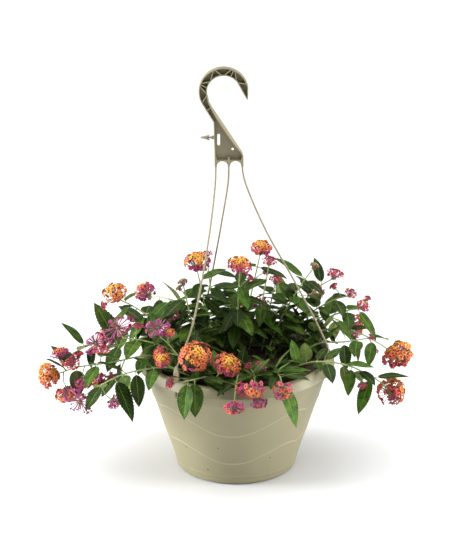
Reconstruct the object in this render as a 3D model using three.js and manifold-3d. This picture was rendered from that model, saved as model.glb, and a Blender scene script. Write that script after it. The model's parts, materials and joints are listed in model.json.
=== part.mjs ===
// Hanging basket: a 12 inch plastic pot with a three-strand hook hanger, filled with growing
// medium and planted with lantana.
// Millimetres, +Z up. The origin is the centre of the pot's flat underside. +X runs to the right
// of the hook's open side, -Y is the front.

import * as THREE from 'three';
import { mergeVertices } from 'three/addons/utils/BufferGeometryUtils.js';
import Module from 'manifold-3d';

const wasm = await Module();
wasm.setup();

// ---------------------------------------------------------------- driving dimensions

const GAP = 0.35;                 // between touching pieces

const POT_HEIGHT = 180;
const RIM_RADIUS = 152.5;         // lower edge of the skirt
const LEDGE_OUTER_RADIUS = 146;
const NECK_RADIUS = 138.7;        // outside of the upright neck under the ledge
const NECK_BOTTOM = 149;
const SKIRT_HEIGHT = 13;
const WALL = 2;
const HEEL_RADIUS = 88;           // flat underside
const CONE_RADIUS = 95.8;         // outside of the wall where the heel ends
const CONE_BOTTOM = 13;
const CONE_SLOPE = (NECK_RADIUS - CONE_RADIUS) / (NECK_BOTTOM - CONE_BOTTOM);
const POT_SEGMENTS = 42;

const SWAG_COUNT = 3;
const SWAG_CENTRE = -94;          // degrees, the lowest point of one swag
const SWAG_HALF = 48;             // degrees from the lowest point to the crest
const SWAG_STEP = 1.4;            // how far the wall steps in below each swag
const UPPER_SWAG = { low: 93, rise: 31 };
const LOWER_SWAG = { low: 39.5, rise: 25 };

const DRAIN_HOLES = 6;
const DRAIN_RADIUS = 5;
const DRAIN_CIRCLE = 68;

const SOIL_EDGE = 166;
const SOIL_CROWN = 170;

const CLIP_RADIUS = 142;
const CLIP_ANGLES = { right: -9, left: -129, back: 111 };   // degrees about +Z
const SLOT_WIDTH = 9.4;
const SLOT_DEPTH = 4.8;
const WINDOW_BOTTOM = 153;
const WINDOW_HEIGHT = 10;
const CLIP_THICKNESS = 2.4;
const PADDLE_HALF = 5.3;
const PADDLE_TOP = 197;
const PRONG_HALF = 4.2;
const PRONG_SPLIT = 1.2;
const PRONG_BOTTOM = 152;

const STRAND_RADIUS = 1.7;
const STRAND_SIDES = 6;
const FOLD_HEIGHT = 482;          // the line where the strands meet the plate and bend
const FOOT_RADIUS = 1.6;
const STRAND_ROOTS = { left: -30.7, back: -11.3, right: 9 };

const HOOK_CENTRE = [-18.8, 596];
const HOOK_OUTER = 37;
const HOOK_INNER = 24.4;
const HOOK_DEPTH = 9.5;           // front to back
const HOOK_WEB = 1.5;
const HOOK_FLANGE = 1.5;

const STEM_RADIUS = 1.6;
const STEM_SIDES = 4;             // lantana stems are square
const STEM_STEP = 14;
const LEAF_THICKNESS = 0.9;
const LEAF_ROOT = 0.5;            // a leaf starts this far from the middle of its stem
const LOOSE_HEAD_RADIUS = 18;     // larger flower heads are pieces of their own

// ---------------------------------------------------------------- helpers

const radians = THREE.MathUtils.degToRad;
const vector = (p) => new THREE.Vector3(...p);

// A closed triangle mesh as a solid that can be joined and cut.
function solid(geometry, matrix) {
  const bare = geometry.clone();
  bare.deleteAttribute('normal');
  bare.deleteAttribute('uv');
  if (matrix) bare.applyMatrix4(matrix);
  const merged = mergeVertices(bare, 1e-3);
  const index = merged.index.array;
  const kept = [];
  for (let i = 0; i < index.length; i += 3) {
    const [a, b, c] = [index[i], index[i + 1], index[i + 2]];
    if (a !== b && b !== c && c !== a) kept.push(a, b, c);
  }
  return new wasm.Manifold(new wasm.Mesh({
    numProp: 3,
    vertProperties: new Float32Array(merged.attributes.position.array),
    triVerts: new Uint32Array(kept),
  }));
}

function geometryOf(body) {
  const mesh = body.getMesh();
  const geometry = new THREE.BufferGeometry();
  geometry.setAttribute('position', new THREE.BufferAttribute(mesh.vertProperties, 3));
  geometry.setIndex(new THREE.BufferAttribute(mesh.triVerts, 1));
  geometry.computeVertexNormals();
  return geometry;
}

const join = (bodies) => bodies.reduce((all, body) => all.add(body));
const cut = (body, tools) => tools.reduce((rest, tool) => rest.subtract(tool), body);

function boxSolid(size, centre, turn = 0) {
  const matrix = new THREE.Matrix4().makeRotationZ(turn)
    .multiply(new THREE.Matrix4().makeTranslation(...centre));
  return solid(new THREE.BoxGeometry(...size), matrix);
}

// A flat outline in X and Z, given a thickness centred on Y.
function plateSolid(outline, thickness, holes = []) {
  const shape = new THREE.Shape(outline.map(([x, z]) => new THREE.Vector2(x, z)));
  shape.holes = holes;
  const geometry = new THREE.ExtrudeGeometry(shape, { depth: thickness, bevelEnabled: false,
    curveSegments: 8 });
  geometry.translate(0, 0, -thickness / 2);
  geometry.rotateX(Math.PI / 2);
  return solid(geometry);
}

// A rod of even thickness along a curve.
function rodSolid(curve, radius, sides, steps) {
  const ring = [];
  for (let i = 0; i < sides; i += 1) {
    const angle = (i / sides) * 2 * Math.PI;
    ring.push(new THREE.Vector2(radius * Math.cos(angle), radius * Math.sin(angle)));
  }
  return solid(new THREE.ExtrudeGeometry(new THREE.Shape(ring), { steps, extrudePath: curve,
    bevelEnabled: false }));
}

const arc = (centre, radius, from, to, count) => Array.from({ length: count + 1 }, (_, i) => {
  const angle = radians(from + ((to - from) * i) / count);
  return [centre[0] + radius * Math.cos(angle), centre[1] + radius * Math.sin(angle)];
});

// The outline moved inwards by a distance; the outline runs clockwise.
function inset(outline, distance) {
  const count = outline.length;
  return outline.map((point, i) => {
    const before = outline[(i + count - 1) % count];
    const after = outline[(i + 1) % count];
    const first = new THREE.Vector2(point[0] - before[0], point[1] - before[1]).normalize();
    const second = new THREE.Vector2(after[0] - point[0], after[1] - point[1]).normalize();
    const normal = new THREE.Vector2(first.y + second.y, -first.x - second.x).normalize();
    const reach = distance / (normal.x * first.y - normal.y * first.x);
    return [point[0] + normal.x * reach, point[1] + normal.y * reach];
  });
}

// ---------------------------------------------------------------- pot and growing medium

const coneRadius = (z) => CONE_RADIUS + (z - CONE_BOTTOM) * CONE_SLOPE;

// Height of a swag line around the pot: three sagging arcs that meet at low saddles.
function swagHeight(swag, angle) {
  const period = 360 / SWAG_COUNT;
  const turns = (THREE.MathUtils.radToDeg(angle) - SWAG_CENTRE) / period;
  const away = Math.abs(turns - Math.round(turns)) * period;
  const climb = 0.5 - 0.5 * Math.cos(Math.PI * Math.min(1, away / SWAG_HALF));
  const saddle = Math.max(0, (away - SWAG_HALF) / (period / 2 - SWAG_HALF));
  return swag.low + swag.rise * (climb - 0.2 * saddle * saddle);
}

// Profile rows from the middle of the underside, up the outside, over the rim and down the inside.
// A row is [radius, height], or a swag edge whose height follows the swag.
function potRows() {
  const swagRows = (swag, above, below) => [
    { swag, lift: -1.2, offset: below },
    { swag, lift: 1.2, offset: above },
  ];
  const outside = [
    [0, 0], [HEEL_RADIUS, 0], [HEEL_RADIUS + 4.4, 1.6], [HEEL_RADIUS + 6.2, 6],
    [CONE_RADIUS - SWAG_STEP, CONE_BOTTOM],
    ...swagRows(LOWER_SWAG, 0, -SWAG_STEP),
    ...swagRows(UPPER_SWAG, SWAG_STEP, 0),
    [NECK_RADIUS, NECK_BOTTOM], [NECK_RADIUS, POT_HEIGHT - 3.5],
    [RIM_RADIUS - 6.5, POT_HEIGHT - 3.5], [RIM_RADIUS - 2, POT_HEIGHT - SKIRT_HEIGHT],
    [RIM_RADIUS, POT_HEIGHT - SKIRT_HEIGHT], [LEDGE_OUTER_RADIUS + 0.6, POT_HEIGHT - 1.2],
    [LEDGE_OUTER_RADIUS - 1, POT_HEIGHT],
  ];
  const inside = [
    [NECK_RADIUS - WALL + 0.8, POT_HEIGHT], [NECK_RADIUS - WALL, POT_HEIGHT - 1],
    [NECK_RADIUS - WALL, NECK_BOTTOM],
    { swag: UPPER_SWAG, lift: 0, offset: -WALL },
    { swag: LOWER_SWAG, lift: 0, offset: -SWAG_STEP - WALL },
    [CONE_RADIUS - SWAG_STEP - WALL, CONE_BOTTOM], [HEEL_RADIUS + 3, 5.5],
    [HEEL_RADIUS - 1, WALL], [0, WALL],
  ];
  return [...outside, ...inside];
}

function potGeometry() {
  const rows = potRows();
  const flat = rows.map((row) => (Array.isArray(row) ? row : [1, 1]));
  const geometry = new THREE.LatheGeometry(flat.map(([r, z]) => new THREE.Vector2(r, z)),
    POT_SEGMENTS);
  const position = geometry.attributes.position;
  for (let i = 0; i <= POT_SEGMENTS; i += 1) {
    const angle = ((i % POT_SEGMENTS) / POT_SEGMENTS) * 2 * Math.PI - Math.PI / 2;
    rows.forEach((row, j) => {
      let [r, z] = flat[j];
      if (row.swag) {
        z = swagHeight(row.swag, angle) + row.lift;
        r = coneRadius(z) + row.offset;
      }
      position.setXYZ(i * rows.length + j, r * Math.cos(angle), r * Math.sin(angle), z);
    });
  }
  return geometry;
}

function potShell() {
  const tools = [];
  for (const degrees of Object.values(CLIP_ANGLES)) {
    const turn = radians(degrees);
    tools.push(boxSolid([SLOT_DEPTH, SLOT_WIDTH, 12], [CLIP_RADIUS, 0, POT_HEIGHT], turn));
    tools.push(boxSolid([8, SLOT_WIDTH, WINDOW_HEIGHT],
      [NECK_RADIUS - 1, 0, WINDOW_BOTTOM + WINDOW_HEIGHT / 2], turn));
  }
  for (let i = 0; i < DRAIN_HOLES; i += 1) {
    const hole = new THREE.CylinderGeometry(DRAIN_RADIUS, DRAIN_RADIUS, 10, 12);
    hole.rotateX(Math.PI / 2);
    const turn = radians(30 + (i * 360) / DRAIN_HOLES);
    hole.translate(DRAIN_CIRCLE * Math.cos(turn), DRAIN_CIRCLE * Math.sin(turn), 0);
    tools.push(solid(hole));
  }
  return cut(solid(potGeometry()), tools);
}

function rootBall() {
  const inner = (z) => coneRadius(z) - SWAG_STEP - WALL - GAP;
  const profile = [
    [0, WALL + GAP], [HEEL_RADIUS - 3, WALL + GAP], [HEEL_RADIUS + 1.5, 7],
    [inner(CONE_BOTTOM + 2), CONE_BOTTOM + 2], [inner(NECK_BOTTOM - 4), NECK_BOTTOM - 4],
    [NECK_RADIUS - WALL - 1.5, SOIL_EDGE - 2], [NECK_RADIUS - WALL - 4, SOIL_EDGE],
    [70, SOIL_CROWN - 1.5], [0, SOIL_CROWN],
  ];
  const geometry = new THREE.LatheGeometry(profile.map(([r, z]) => new THREE.Vector2(r, z)),
    POT_SEGMENTS);
  geometry.rotateX(Math.PI / 2);
  return solid(geometry);
}

// ---------------------------------------------------------------- hanger

// Outer edge of the hook and its plate, clockwise, without the feet.
const HOOK_EDGE = [
  [-32.4, 490], [-34.2, 550], [-44.9, 567.7],
  ...arc(HOOK_CENTRE, HOOK_OUTER, 207, 10, 22),
  [16.6, 583.5],
  ...arc(HOOK_CENTRE, HOOK_INNER, 35, 200, 16),
  [-40.4, 580.5], [-37.2, 573.8], [7.4, 505], [10.3, 499], [10.7, 490],
];

// Truss ribs of the hook, as degrees on the outer and on the inner arc.
const HOOK_RIBS = [[20, 34], [62, 43], [66, 66], [72, 87], [111, 97], [115, 140], [158, 143],
  [161, 165], [166, 185], [207, 192]];

function barSolid([x1, z1], [x2, z2], width, depth, centreY) {
  const length = Math.hypot(x2 - x1, z2 - z1);
  const matrix = new THREE.Matrix4().makeTranslation((x1 + x2) / 2, centreY, (z1 + z2) / 2)
    .multiply(new THREE.Matrix4().makeRotationY(-Math.atan2(z2 - z1, x2 - x1)));
  return solid(new THREE.BoxGeometry(length, depth, width), matrix);
}

function hookPlate() {
  const slot = new THREE.Path();
  slot.absarc(-26.4, 514.5, 2.6, Math.PI, 2 * Math.PI);
  slot.absarc(-26.4, 528.5, 2.6, 0, Math.PI);
  const eye = new THREE.Path().absarc(-5.6, 507, 2.2, 0, 2 * Math.PI);
  const body = plateSolid(HOOK_EDGE, HOOK_DEPTH, [slot, eye]);

  const floor = [[-32.4, 494], ...HOOK_EDGE.slice(1, -1), [10.5, 494]];
  const pocket = plateSolid(inset(floor, HOOK_FLANGE), HOOK_DEPTH)
    .translate([0, -HOOK_WEB, 0]);

  const ribDepth = HOOK_DEPTH - 1;
  const ribs = HOOK_RIBS.map(([outer, inner]) => barSolid(
    arc(HOOK_CENTRE, HOOK_OUTER - 0.5, outer, outer, 1)[0],
    arc(HOOK_CENTRE, HOOK_INNER + 0.5, inner, inner, 1)[0], 1.2, ribDepth, 0));
  ribs.push(barSolid([-44.2, 568], [-37.4, 572.4], 1.2, ribDepth, 0));

  const feet = Object.values(STRAND_ROOTS).map((x) => boxSolid([3.4, HOOK_DEPTH, 16],
    [x, 0, FOLD_HEIGHT + 6]));
  const arches = [[-21, 8.1], [-1.15, 8.4]].map(([x, half]) => {
    const round = new THREE.CylinderGeometry(half, half, 20, 16);
    return solid(round.translate(x, 0, FOLD_HEIGHT));
  });
  const tagBarb = plateSolid([[-33, 524.3], [-41, 524.3], [-39.2, 521.6], [-44.5, 523.4],
    [-53, 525.5], [-44.5, 527.4], [-39.2, 529.6], [-41, 526.7], [-33, 526.7]], 2.4);

  const whole = join([cut(body, [pocket, ...arches]), ...ribs, ...feet, tagBarb]);
  return whole.intersect(depthEnvelope());
}

// Side view of the plate: full depth above, drawn in to a round end at the fold line.
function depthEnvelope() {
  const half = HOOK_DEPTH / 2;
  const foot = arc([0, FOLD_HEIGHT], FOOT_RADIUS, 340, 200, 8);
  const outline = [[half, 640], [half, FOLD_HEIGHT + 13], ...foot, [-half, FOLD_HEIGHT + 13],
    [-half, 640]];
  const shape = new THREE.Shape(outline.map(([y, z]) => new THREE.Vector2(y, z)));
  const geometry = new THREE.ExtrudeGeometry(shape, { depth: 120, bevelEnabled: false });
  geometry.translate(0, 0, -60);
  geometry.rotateX(Math.PI / 2);
  geometry.rotateZ(Math.PI / 2);
  geometry.translate(-18, 0, 0);
  return solid(geometry);
}

// Way points of each strand, between its root and its clip.
const STRAND_BOWS = {
  left: [[-31.6, -6, 455], [-41.4, -36, 378], [-66, -86, 258]],
  back: [[-12.2, 8, 455], [-22.6, 44, 378], [-41, 100, 258]],
  right: [[13, -2, 458], [44, -8, 384], [84, -15, 312], [119, -20, 246]],
};

function clipPoint(name, height) {
  const angle = radians(CLIP_ANGLES[name]);
  return [CLIP_RADIUS * Math.cos(angle), CLIP_RADIUS * Math.sin(angle), height];
}

function strand(name) {
  const route = [[STRAND_ROOTS[name], 0, FOLD_HEIGHT - FOOT_RADIUS - GAP],
    ...STRAND_BOWS[name], clipPoint(name, PADDLE_TOP + 5)];
  const rod = rodSolid(new THREE.CatmullRomCurve3(route.map(vector)), STRAND_RADIUS,
    STRAND_SIDES, 18);
  return rod.add(clip(radians(CLIP_ANGLES[name])));
}

// The snap clip: a ribbed paddle that sits on the ledge and two prongs that go through its slot.
function clip(turn) {
  const seat = POT_HEIGHT + GAP;
  const half = [[PRONG_SPLIT, seat - 1], [PRONG_SPLIT, PRONG_BOTTOM], [PRONG_HALF, PRONG_BOTTOM],
    [PRONG_HALF, seat], [PADDLE_HALF, seat], [PADDLE_HALF, PADDLE_TOP - 4], [1.6, PADDLE_TOP + 6]];
  const outline = [...half, ...half.map(([x, z]) => [-x, z]).reverse()];
  const ribs = [-3.4, 0, 3.4].map((x) => new THREE.Matrix4().makeTranslation(x, 0,
    (seat + PADDLE_TOP - 4) / 2)).map((matrix) => solid(
    new THREE.BoxGeometry(1, CLIP_THICKNESS + 1.2, PADDLE_TOP - 5 - seat), matrix));
  const flat = join([plateSolid(outline, CLIP_THICKNESS), ...ribs]);
  return flat.rotate([0, 0, 90]).translate([CLIP_RADIUS, 0, 0])
    .rotate([0, 0, THREE.MathUtils.radToDeg(turn)]);
}

// ---------------------------------------------------------------- lantana

// Each shoot: name, pairs of leaves, way points from the soil to the tip, then its flower head:
// kind, radius and the way the head faces.
const SHOOTS = [
  ['left_top', 4, [[-58, -34], [-105, -34, 226], [-148, -26, 262], [-180, -21, 278]],
    'orange', 20, [-0.3, -0.4, 0.85]],
  ['left_spider', 3, [[-60, -50], [-108, -64, 216], [-146, -70, 230], [-170, -70, 233]],
    'spider', 26, [-0.5, 0.55, 0.65]],
  ['left_near', 2, [[-52, -60], [-82, -88, 206], [-104, -98, 238], [-112, -101, 246]],
    'spider', 22, [-0.3, 0.3, 0.9]],
  ['left_far', 4, [[-68, -46], [-125, -64, 202], [-190, -72, 194], [-240, -66, 184],
    [-268, -58, 171]], 'orange', 25, [-0.9, -0.2, -0.3]],
  ['left_low', 3, [[-62, -66], [-104, -100, 198], [-165, -110, 192], [-205, -106, 170],
    [-227, -102, 154]], 'magenta', 26, [-0.5, 0.35, -0.75]],
  ['left_mid', 3, [[-68, -28], [-118, -36, 222], [-166, -30, 210], [-204, -34, 198]],
    'spider', 22, [-0.6, 0.1, 0.6]],
  ['left_back', 3, [[-62, -18], [-120, -12, 212], [-190, -8, 208], [-240, -14, 192],
    [-254, -17, 184]], 'pink', 18, [-0.8, -0.2, -0.4]],
  ['left_drop', 2, [[-70, -8], [-124, 2, 196], [-162, -4, 186], [-180, -14, 150],
    [-182, -18, 118]], 'magenta', 14, [0, 0, -1]],
  ['left_upright', 3, [[-44, -22], [-66, -12, 230], [-81, -2, 294]], 'bud', 8, [-0.2, 0, 1]],
  ['front_left_big', 3, [[-40, -60], [-54, -89, 194], [-62, -114, 214]],
    'golden', 26, [0.1, -0.7, 0.7]],
  ['front_left_small', 2, [[-62, -80], [-90, -102, 194], [-108, -112, 212]],
    'golden', 15, [-0.3, -0.5, 0.8]],
  ['front_left_drape', 2, [[-36, -78], [-48, -120, 190], [-72, -152, 198], [-94, -158, 196]],
    'bud', 9, [-0.7, -0.5, 0.4]],
  ['front_orange', 2, [[-16, -82], [-30, -116, 188], [-19, -125, 205]],
    'orange', 21, [0.35, -0.55, 0.75]],
  ['front_drape', 2, [[24, -56], [26, -108, 192], [27, -153, 196]],
    'pink', 19, [0, -0.75, -0.5]],
  ['front_drop', 2, [[6, -66], [2, -120, 192], [-1, -158, 190], [-3, -170, 172]],
    'magenta', 17, [0, -0.35, -0.9]],
  ['front_right_drape', 2, [[48, -46], [60, -104, 192], [66, -146, 196], [67, -159, 191]],
    'pink', 18, [0.1, -0.9, -0.3]],
  ['right_low', 4, [[80, -46], [118, -60, 190], [165, -66, 188], [208, -63, 166],
    [227, -61, 151]], 'orange', 26, [0.55, 0.4, -0.75]],
  ['right_high', 3, [[86, 10], [130, 22, 208], [182, 10, 212], [220, -10, 200],
    [233, -17, 193]], 'orange', 28, [0.7, 0.1, -0.55]],
  ['right_spray_low', 3, [[76, 22], [126, 36, 216], [172, 32, 238], [194, 24, 245]],
    'golden', 12, [0.4, -0.2, 0.8]],
  ['right_spray_mid', 3, [[64, 26], [108, 46, 222], [154, 50, 250], [176, 44, 258]],
    'pink', 11, [0.3, -0.2, 0.9]],
  ['right_spray_high', 4, [[54, 22], [88, 52, 224], [128, 66, 264], [152, 64, 280]],
    'pink', 14, [0.2, 0, 1]],
  ['right_upright', 4, [[46, 10], [70, 30, 226], [100, 42, 276], [120, 50, 302]],
    'bud', 8, [0.3, 0, 1]],
  ['pink_back', 3, [[40, 26], [50, 46, 226], [61, 54, 276]], 'pink', 11, [0, 0, 1]],
  ['right_bud', 3, [[92, 2], [126, 4, 194], [166, -8, 202], [204, -22, 214]],
    'bud', 6, [0.8, 0, 0.5]],
  ['top_left', 4, [[-28, 38], [-46, 32, 240], [-60, 22, 308]], 'orange', 22, [0, -0.2, 1]],
  ['top_centre', 4, [[-4, 26], [2, 4, 246], [5, -18, 318]], 'orange', 20, [0, -0.2, 1]],
  ['top_right', 4, [[8, 44], [22, 40, 256], [37, 34, 331]], 'orange', 18, [0.1, -0.1, 1]],
  ['top_pink', 3, [[20, 34], [38, 18, 250], [50, 0, 326]], 'pink', 12, [0.1, -0.2, 1]],
  ['magenta_mid', 2, [[26, 50], [33, 54, 206], [38, 46, 238]], 'magenta', 16, [0, -0.3, 1]],
  ['top_back', 3, [[-20, 56], [-38, 66, 250], [-46, 66, 314]], 'pink', 10, [0, 0, 1]],
  ['back_left', 4, [[-40, 62], [-80, 104, 212], [-118, 134, 222], [-138, 150, 216]],
    'orange', 20, [-0.6, 0.6, 0.4]],
  ['back_right', 4, [[32, 74], [70, 112, 212], [102, 140, 222], [118, 156, 216]],
    'magenta', 20, [0.6, 0.6, 0.4]],
  ['back_mid', 3, [[2, 80], [8, 128, 204], [6, 162, 198], [4, 178, 180]],
    'orange', 20, [0, 0.8, -0.4]],
  ['back_left_low', 3, [[-62, 36], [-118, 56, 204], [-166, 70, 196], [-192, 76, 180]],
    'golden', 20, [-0.8, 0.3, -0.3]],
  ['back_right_low', 3, [[58, 52], [114, 78, 204], [156, 96, 200], [178, 104, 186]],
    'orange', 20, [0.8, 0.4, -0.3]],
];

// Large leaves that hang or stand in a set direction: shoot, place along it, direction, length.
const SET_LEAVES = [
  ['front_left_drape', 0.66, [0.02, -0.25, -1], 58],
  ['front_left_drape', 0.42, [0.6, -0.75, -0.1], 48],
  ['front_right_drape', 0.93, [0.2, -0.1, -1], 72],
  ['right_high', 0.8, [0.6, 0.75, -0.2], 56],
  ['left_mid', 0.8, [-0.68, 0.2, 0.72], 60],
  ['left_back', 0.88, [-0.6, 0.25, 0.75], 52],
  ['left_low', 0.72, [0.3, -0.05, -0.95], 68],
  ['left_low', 0.55, [0.15, -0.1, -1], 52],
  ['left_far', 0.94, [-0.5, -0.3, 0.6], 42],
  ['right_spray_low', 0.95, [0.65, -0.2, -0.75], 48],
  ['right_low', 0.84, [-0.55, -0.25, -0.75], 48],
  ['right_low', 0.62, [-0.15, -0.5, -0.75], 44],
  ['right_bud', 0.66, [0.1, -0.4, -0.9], 44],
  ['left_top', 0.93, [0.35, -0.4, 0.6], 36],
  ['left_top', 0.86, [-0.75, -0.2, -0.55], 44],
];

// A repeatable stand-in for chance, from 0 to 1.
const chance = (seed) => {
  const wave = Math.sin(seed * 12.9898) * 43758.5453;
  return wave - Math.floor(wave);
};

// Shape of a leaf, as shares of its length.
const LEAF_WIDTH = 0.46;
const LEAF_FOOT = 0.016;          // half width where it leaves the stem
const LEAF_WIDEST = 0.4;          // where along it the leaf is widest
const LEAF_DROOP = 0.16;          // how far the tip bends down

function leafFrame(leaf) {
  const along = leaf.way;
  const up = new THREE.Vector3(0, 0, 1).addScaledVector(along, -along.z);
  if (up.length() < 0.2) up.set(leaf.base.x, leaf.base.y, 0).addScaledVector(along,
    -(along.x * leaf.base.x + along.y * leaf.base.y));
  up.normalize();
  return { along, up, across: new THREE.Vector3().crossVectors(up, along) };
}

// A point of the leaf: s along it, t across it from -1 to 1.
function leafPoint(leaf, frame, s, t) {
  const half = 0.5 * LEAF_WIDTH * leaf.length * Math.sin(Math.PI * Math.min(1, 0.12 + 0.88 * s));
  return leaf.base.clone().addScaledVector(frame.along, s * leaf.length)
    .addScaledVector(frame.across, t * half)
    .addScaledVector(frame.up, -LEAF_DROOP * s * s * leaf.length);
}

function leafSamples(leaf) {
  const frame = leafFrame(leaf);
  const points = [];
  for (const s of [0.25, 0.4, 0.55, 0.7, 0.85, 1]) {
    for (const t of [-0.9, 0, 0.9]) points.push(leafPoint(leaf, frame, s, t));
  }
  return points;
}

function leafSolid(leaf) {
  const half = LEAF_WIDTH / 2;
  const outline = [[0, -LEAF_FOOT], [LEAF_WIDEST, -half], [1, 0], [LEAF_WIDEST, half],
    [0, LEAF_FOOT]];
  const shape = new THREE.Shape(outline.map(([s, t]) =>
    new THREE.Vector2(s * leaf.length, t * leaf.length)));
  const geometry = new THREE.ExtrudeGeometry(shape, { depth: LEAF_THICKNESS,
    bevelEnabled: false });
  geometry.translate(0, 0, -LEAF_THICKNESS / 2);
  const position = geometry.attributes.position;
  for (let i = 0; i < position.count; i += 1) {
    const s = position.getX(i) / leaf.length;
    position.setZ(i, position.getZ(i) - LEAF_DROOP * s * Math.abs(s) * leaf.length);
  }
  const { along, up, across } = leafFrame(leaf);
  const matrix = new THREE.Matrix4().makeBasis(along, across, up).setPosition(leaf.base);
  return solid(geometry, matrix);
}

const shoots = SHOOTS.map(([name, pairs, route, kind, radius, facing]) => {
  const points = route.map(([x, y, z]) => new THREE.Vector3(x, y,
    z ?? SOIL_CROWN + GAP + STEM_RADIUS));
  const curve = new THREE.CatmullRomCurve3(points);
  const axis = vector(facing).normalize();
  const half = 0.62 * radius;
  const tip = points[points.length - 1];
  const loose = radius > LOOSE_HEAD_RADIUS;
  const centre = tip.clone().addScaledVector(axis, loose ? half + GAP + 1.6 : half - 1.5);
  const samples = curve.getSpacedPoints(Math.ceil(curve.getLength() / 5));
  return { name, pairs, curve, kind, radius, axis, half, centre, loose, samples, leaves: [] };
});

// Distance from a point to the upright sheet that each strand sweeps when the hanger lifts off.
function nearStrand(point, room) {
  return Object.keys(CLIP_ANGLES).some((name) => {
    const root = new THREE.Vector2(STRAND_ROOTS[name], 0);
    const foot = new THREE.Vector2(...clipPoint(name, 0).slice(0, 2));
    const run = foot.clone().sub(root);
    const reach = run.length();
    run.normalize();
    const offset = new THREE.Vector2(point.x, point.y).sub(root);
    const along = offset.dot(run);
    if (along < -room || along > reach + room + 6) return false;
    const lowest = FOLD_HEIGHT + ((POT_HEIGHT - FOLD_HEIGHT) * along) / reach;
    return Math.abs(offset.cross(run)) < room && point.z > lowest - 34;
  });
}

function inPot(point, room) {
  const r = Math.hypot(point.x, point.y);
  if (point.z > POT_HEIGHT + room) return false;
  return r < RIM_RADIUS + room && (r > NECK_RADIUS - WALL - room || point.z < SOIL_CROWN + room);
}

const near = (a, b, room) => a.distanceToSquared(b) < room * room;

// A leaf has room when none of its points comes close to anything already in place.
function hasRoom(leaf, owner) {
  const samples = leafSamples(leaf);
  for (const point of samples) {
    if (inPot(point, 3) || nearStrand(point, 9)) return false;
    for (const shoot of shoots) {
      if (near(point, shoot.centre, shoot.radius + 3)) return false;
      const stemRoom = shoot === owner ? 4 : 6.5;
      if (shoot.samples.some((other) => near(point, other, stemRoom))) return false;
      for (const { samples: others } of shoot.leaves) {
        if (others.some((other) => near(point, other, 7))) return false;
      }
    }
  }
  return samples;
}

function leafOn(shoot, place, way, length) {
  way.normalize();
  return { base: shoot.curve.getPointAt(place).addScaledVector(way, LEAF_ROOT), way, length };
}

for (const [name, place, direction, length] of SET_LEAVES) {
  const shoot = shoots.find((one) => one.name === name);
  const leaf = leafOn(shoot, place, vector(direction), length);
  shoot.leaves.push({ ...leaf, samples: leafSamples(leaf) });
}

// Opposite pairs of leaves along each shoot, each pair a quarter turn from the last. A leaf that
// would touch something is turned or shortened, and left out if nothing helps.
shoots.forEach((shoot, number) => {
  for (let pair = 0; pair < shoot.pairs; pair += 1) {
    const place = 0.3 + (0.64 * (pair + 0.5)) / shoot.pairs;
    const tangent = shoot.curve.getTangentAt(place);
    const level = new THREE.Vector3().crossVectors(tangent, new THREE.Vector3(0.02, 0.01, 1))
      .normalize();
    const rising = new THREE.Vector3().crossVectors(level, tangent).normalize();
    for (const side of [-1, 1]) {
      const seed = number * 31 + pair * 7 + side;
      const trials = [[0, 1], [25, 1], [-25, 1], [50, 0.9], [-50, 0.9], [75, 0.8], [10, 0.7]];
      for (const [turn, scale] of trials) {
        const angle = radians(turn + pair * 90 + 40 * (chance(seed) - 0.5));
        const way = level.clone().multiplyScalar(side * Math.cos(angle))
          .addScaledVector(rising, side * Math.sin(angle) * 0.8)
          .addScaledVector(tangent, 0.35).add(new THREE.Vector3(0, 0, -0.12));
        const length = (40 + 16 * chance(seed + 0.5)) * scale;
        const leaf = leafOn(shoot, place, way, length);
        const samples = hasRoom(leaf, shoot);
        if (samples) {
          shoot.leaves.push({ ...leaf, samples });
          break;
        }
      }
    }
  }
});

function headSolid({ radius, half, axis, centre }) {
  const turn = new THREE.Quaternion().setFromUnitVectors(new THREE.Vector3(0, 0, 1), axis);
  const matrix = new THREE.Matrix4().compose(centre, turn,
    new THREE.Vector3(radius, radius, half));
  return solid(new THREE.IcosahedronGeometry(1, radius > 16 ? 1 : 0), matrix);
}

function shootSolid(shoot) {
  const steps = Math.round(shoot.curve.getLength() / STEM_STEP);
  const stem = rodSolid(shoot.curve, STEM_RADIUS, STEM_SIDES, steps);
  const parts = [stem, ...shoot.leaves.map(leafSolid)];
  if (!shoot.loose) parts.push(headSolid(shoot));
  return join(parts);
}

// ---------------------------------------------------------------- assembly

const MATERIALS = {
  pot: { color: '#cbc4a3', roughness: 0.62, metalness: 0 },
  hanger: { color: '#b3aa84', roughness: 0.5, metalness: 0 },
  soil: { color: '#241b14', roughness: 0.95, metalness: 0 },
  foliage: { color: '#4c6b3a', roughness: 0.6, metalness: 0 },
  orange: { color: '#e8843c', roughness: 0.6, metalness: 0 },
  golden: { color: '#f0a23f', roughness: 0.6, metalness: 0 },
  pink: { color: '#c8485a', roughness: 0.6, metalness: 0 },
  magenta: { color: '#a8357a', roughness: 0.6, metalness: 0 },
  spider: { color: '#9a3a78', roughness: 0.6, metalness: 0 },
};

const basket = new THREE.Group();

function addPiece(name, body, look) {
  const mesh = new THREE.Mesh(geometryOf(body), new THREE.MeshStandardMaterial(MATERIALS[look]));
  mesh.name = name;
  basket.add(mesh);
}

addPiece('pot_shell', potShell(), 'pot');
addPiece('growing_medium', rootBall(), 'soil');
addPiece('hook_plate', hookPlate(), 'hanger');
for (const name of Object.keys(CLIP_ANGLES)) addPiece(`strand_${name}`, strand(name), 'hanger');
for (const shoot of shoots) {
  addPiece(`shoot_${shoot.name}`, shootSolid(shoot), 'foliage');
  if (shoot.loose) addPiece(`flower_head_${shoot.name}`, headSolid(shoot), shoot.kind);
}

export default basket;
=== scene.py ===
# Hanging basket in Blender: a plastic pot with a hook hanger, planted with lantana.
# Metres, +Z up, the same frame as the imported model. -Y is the front.
import json
import math

import bmesh
import bpy
import numpy as np
from mathutils import Matrix, Vector, noise

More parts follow.
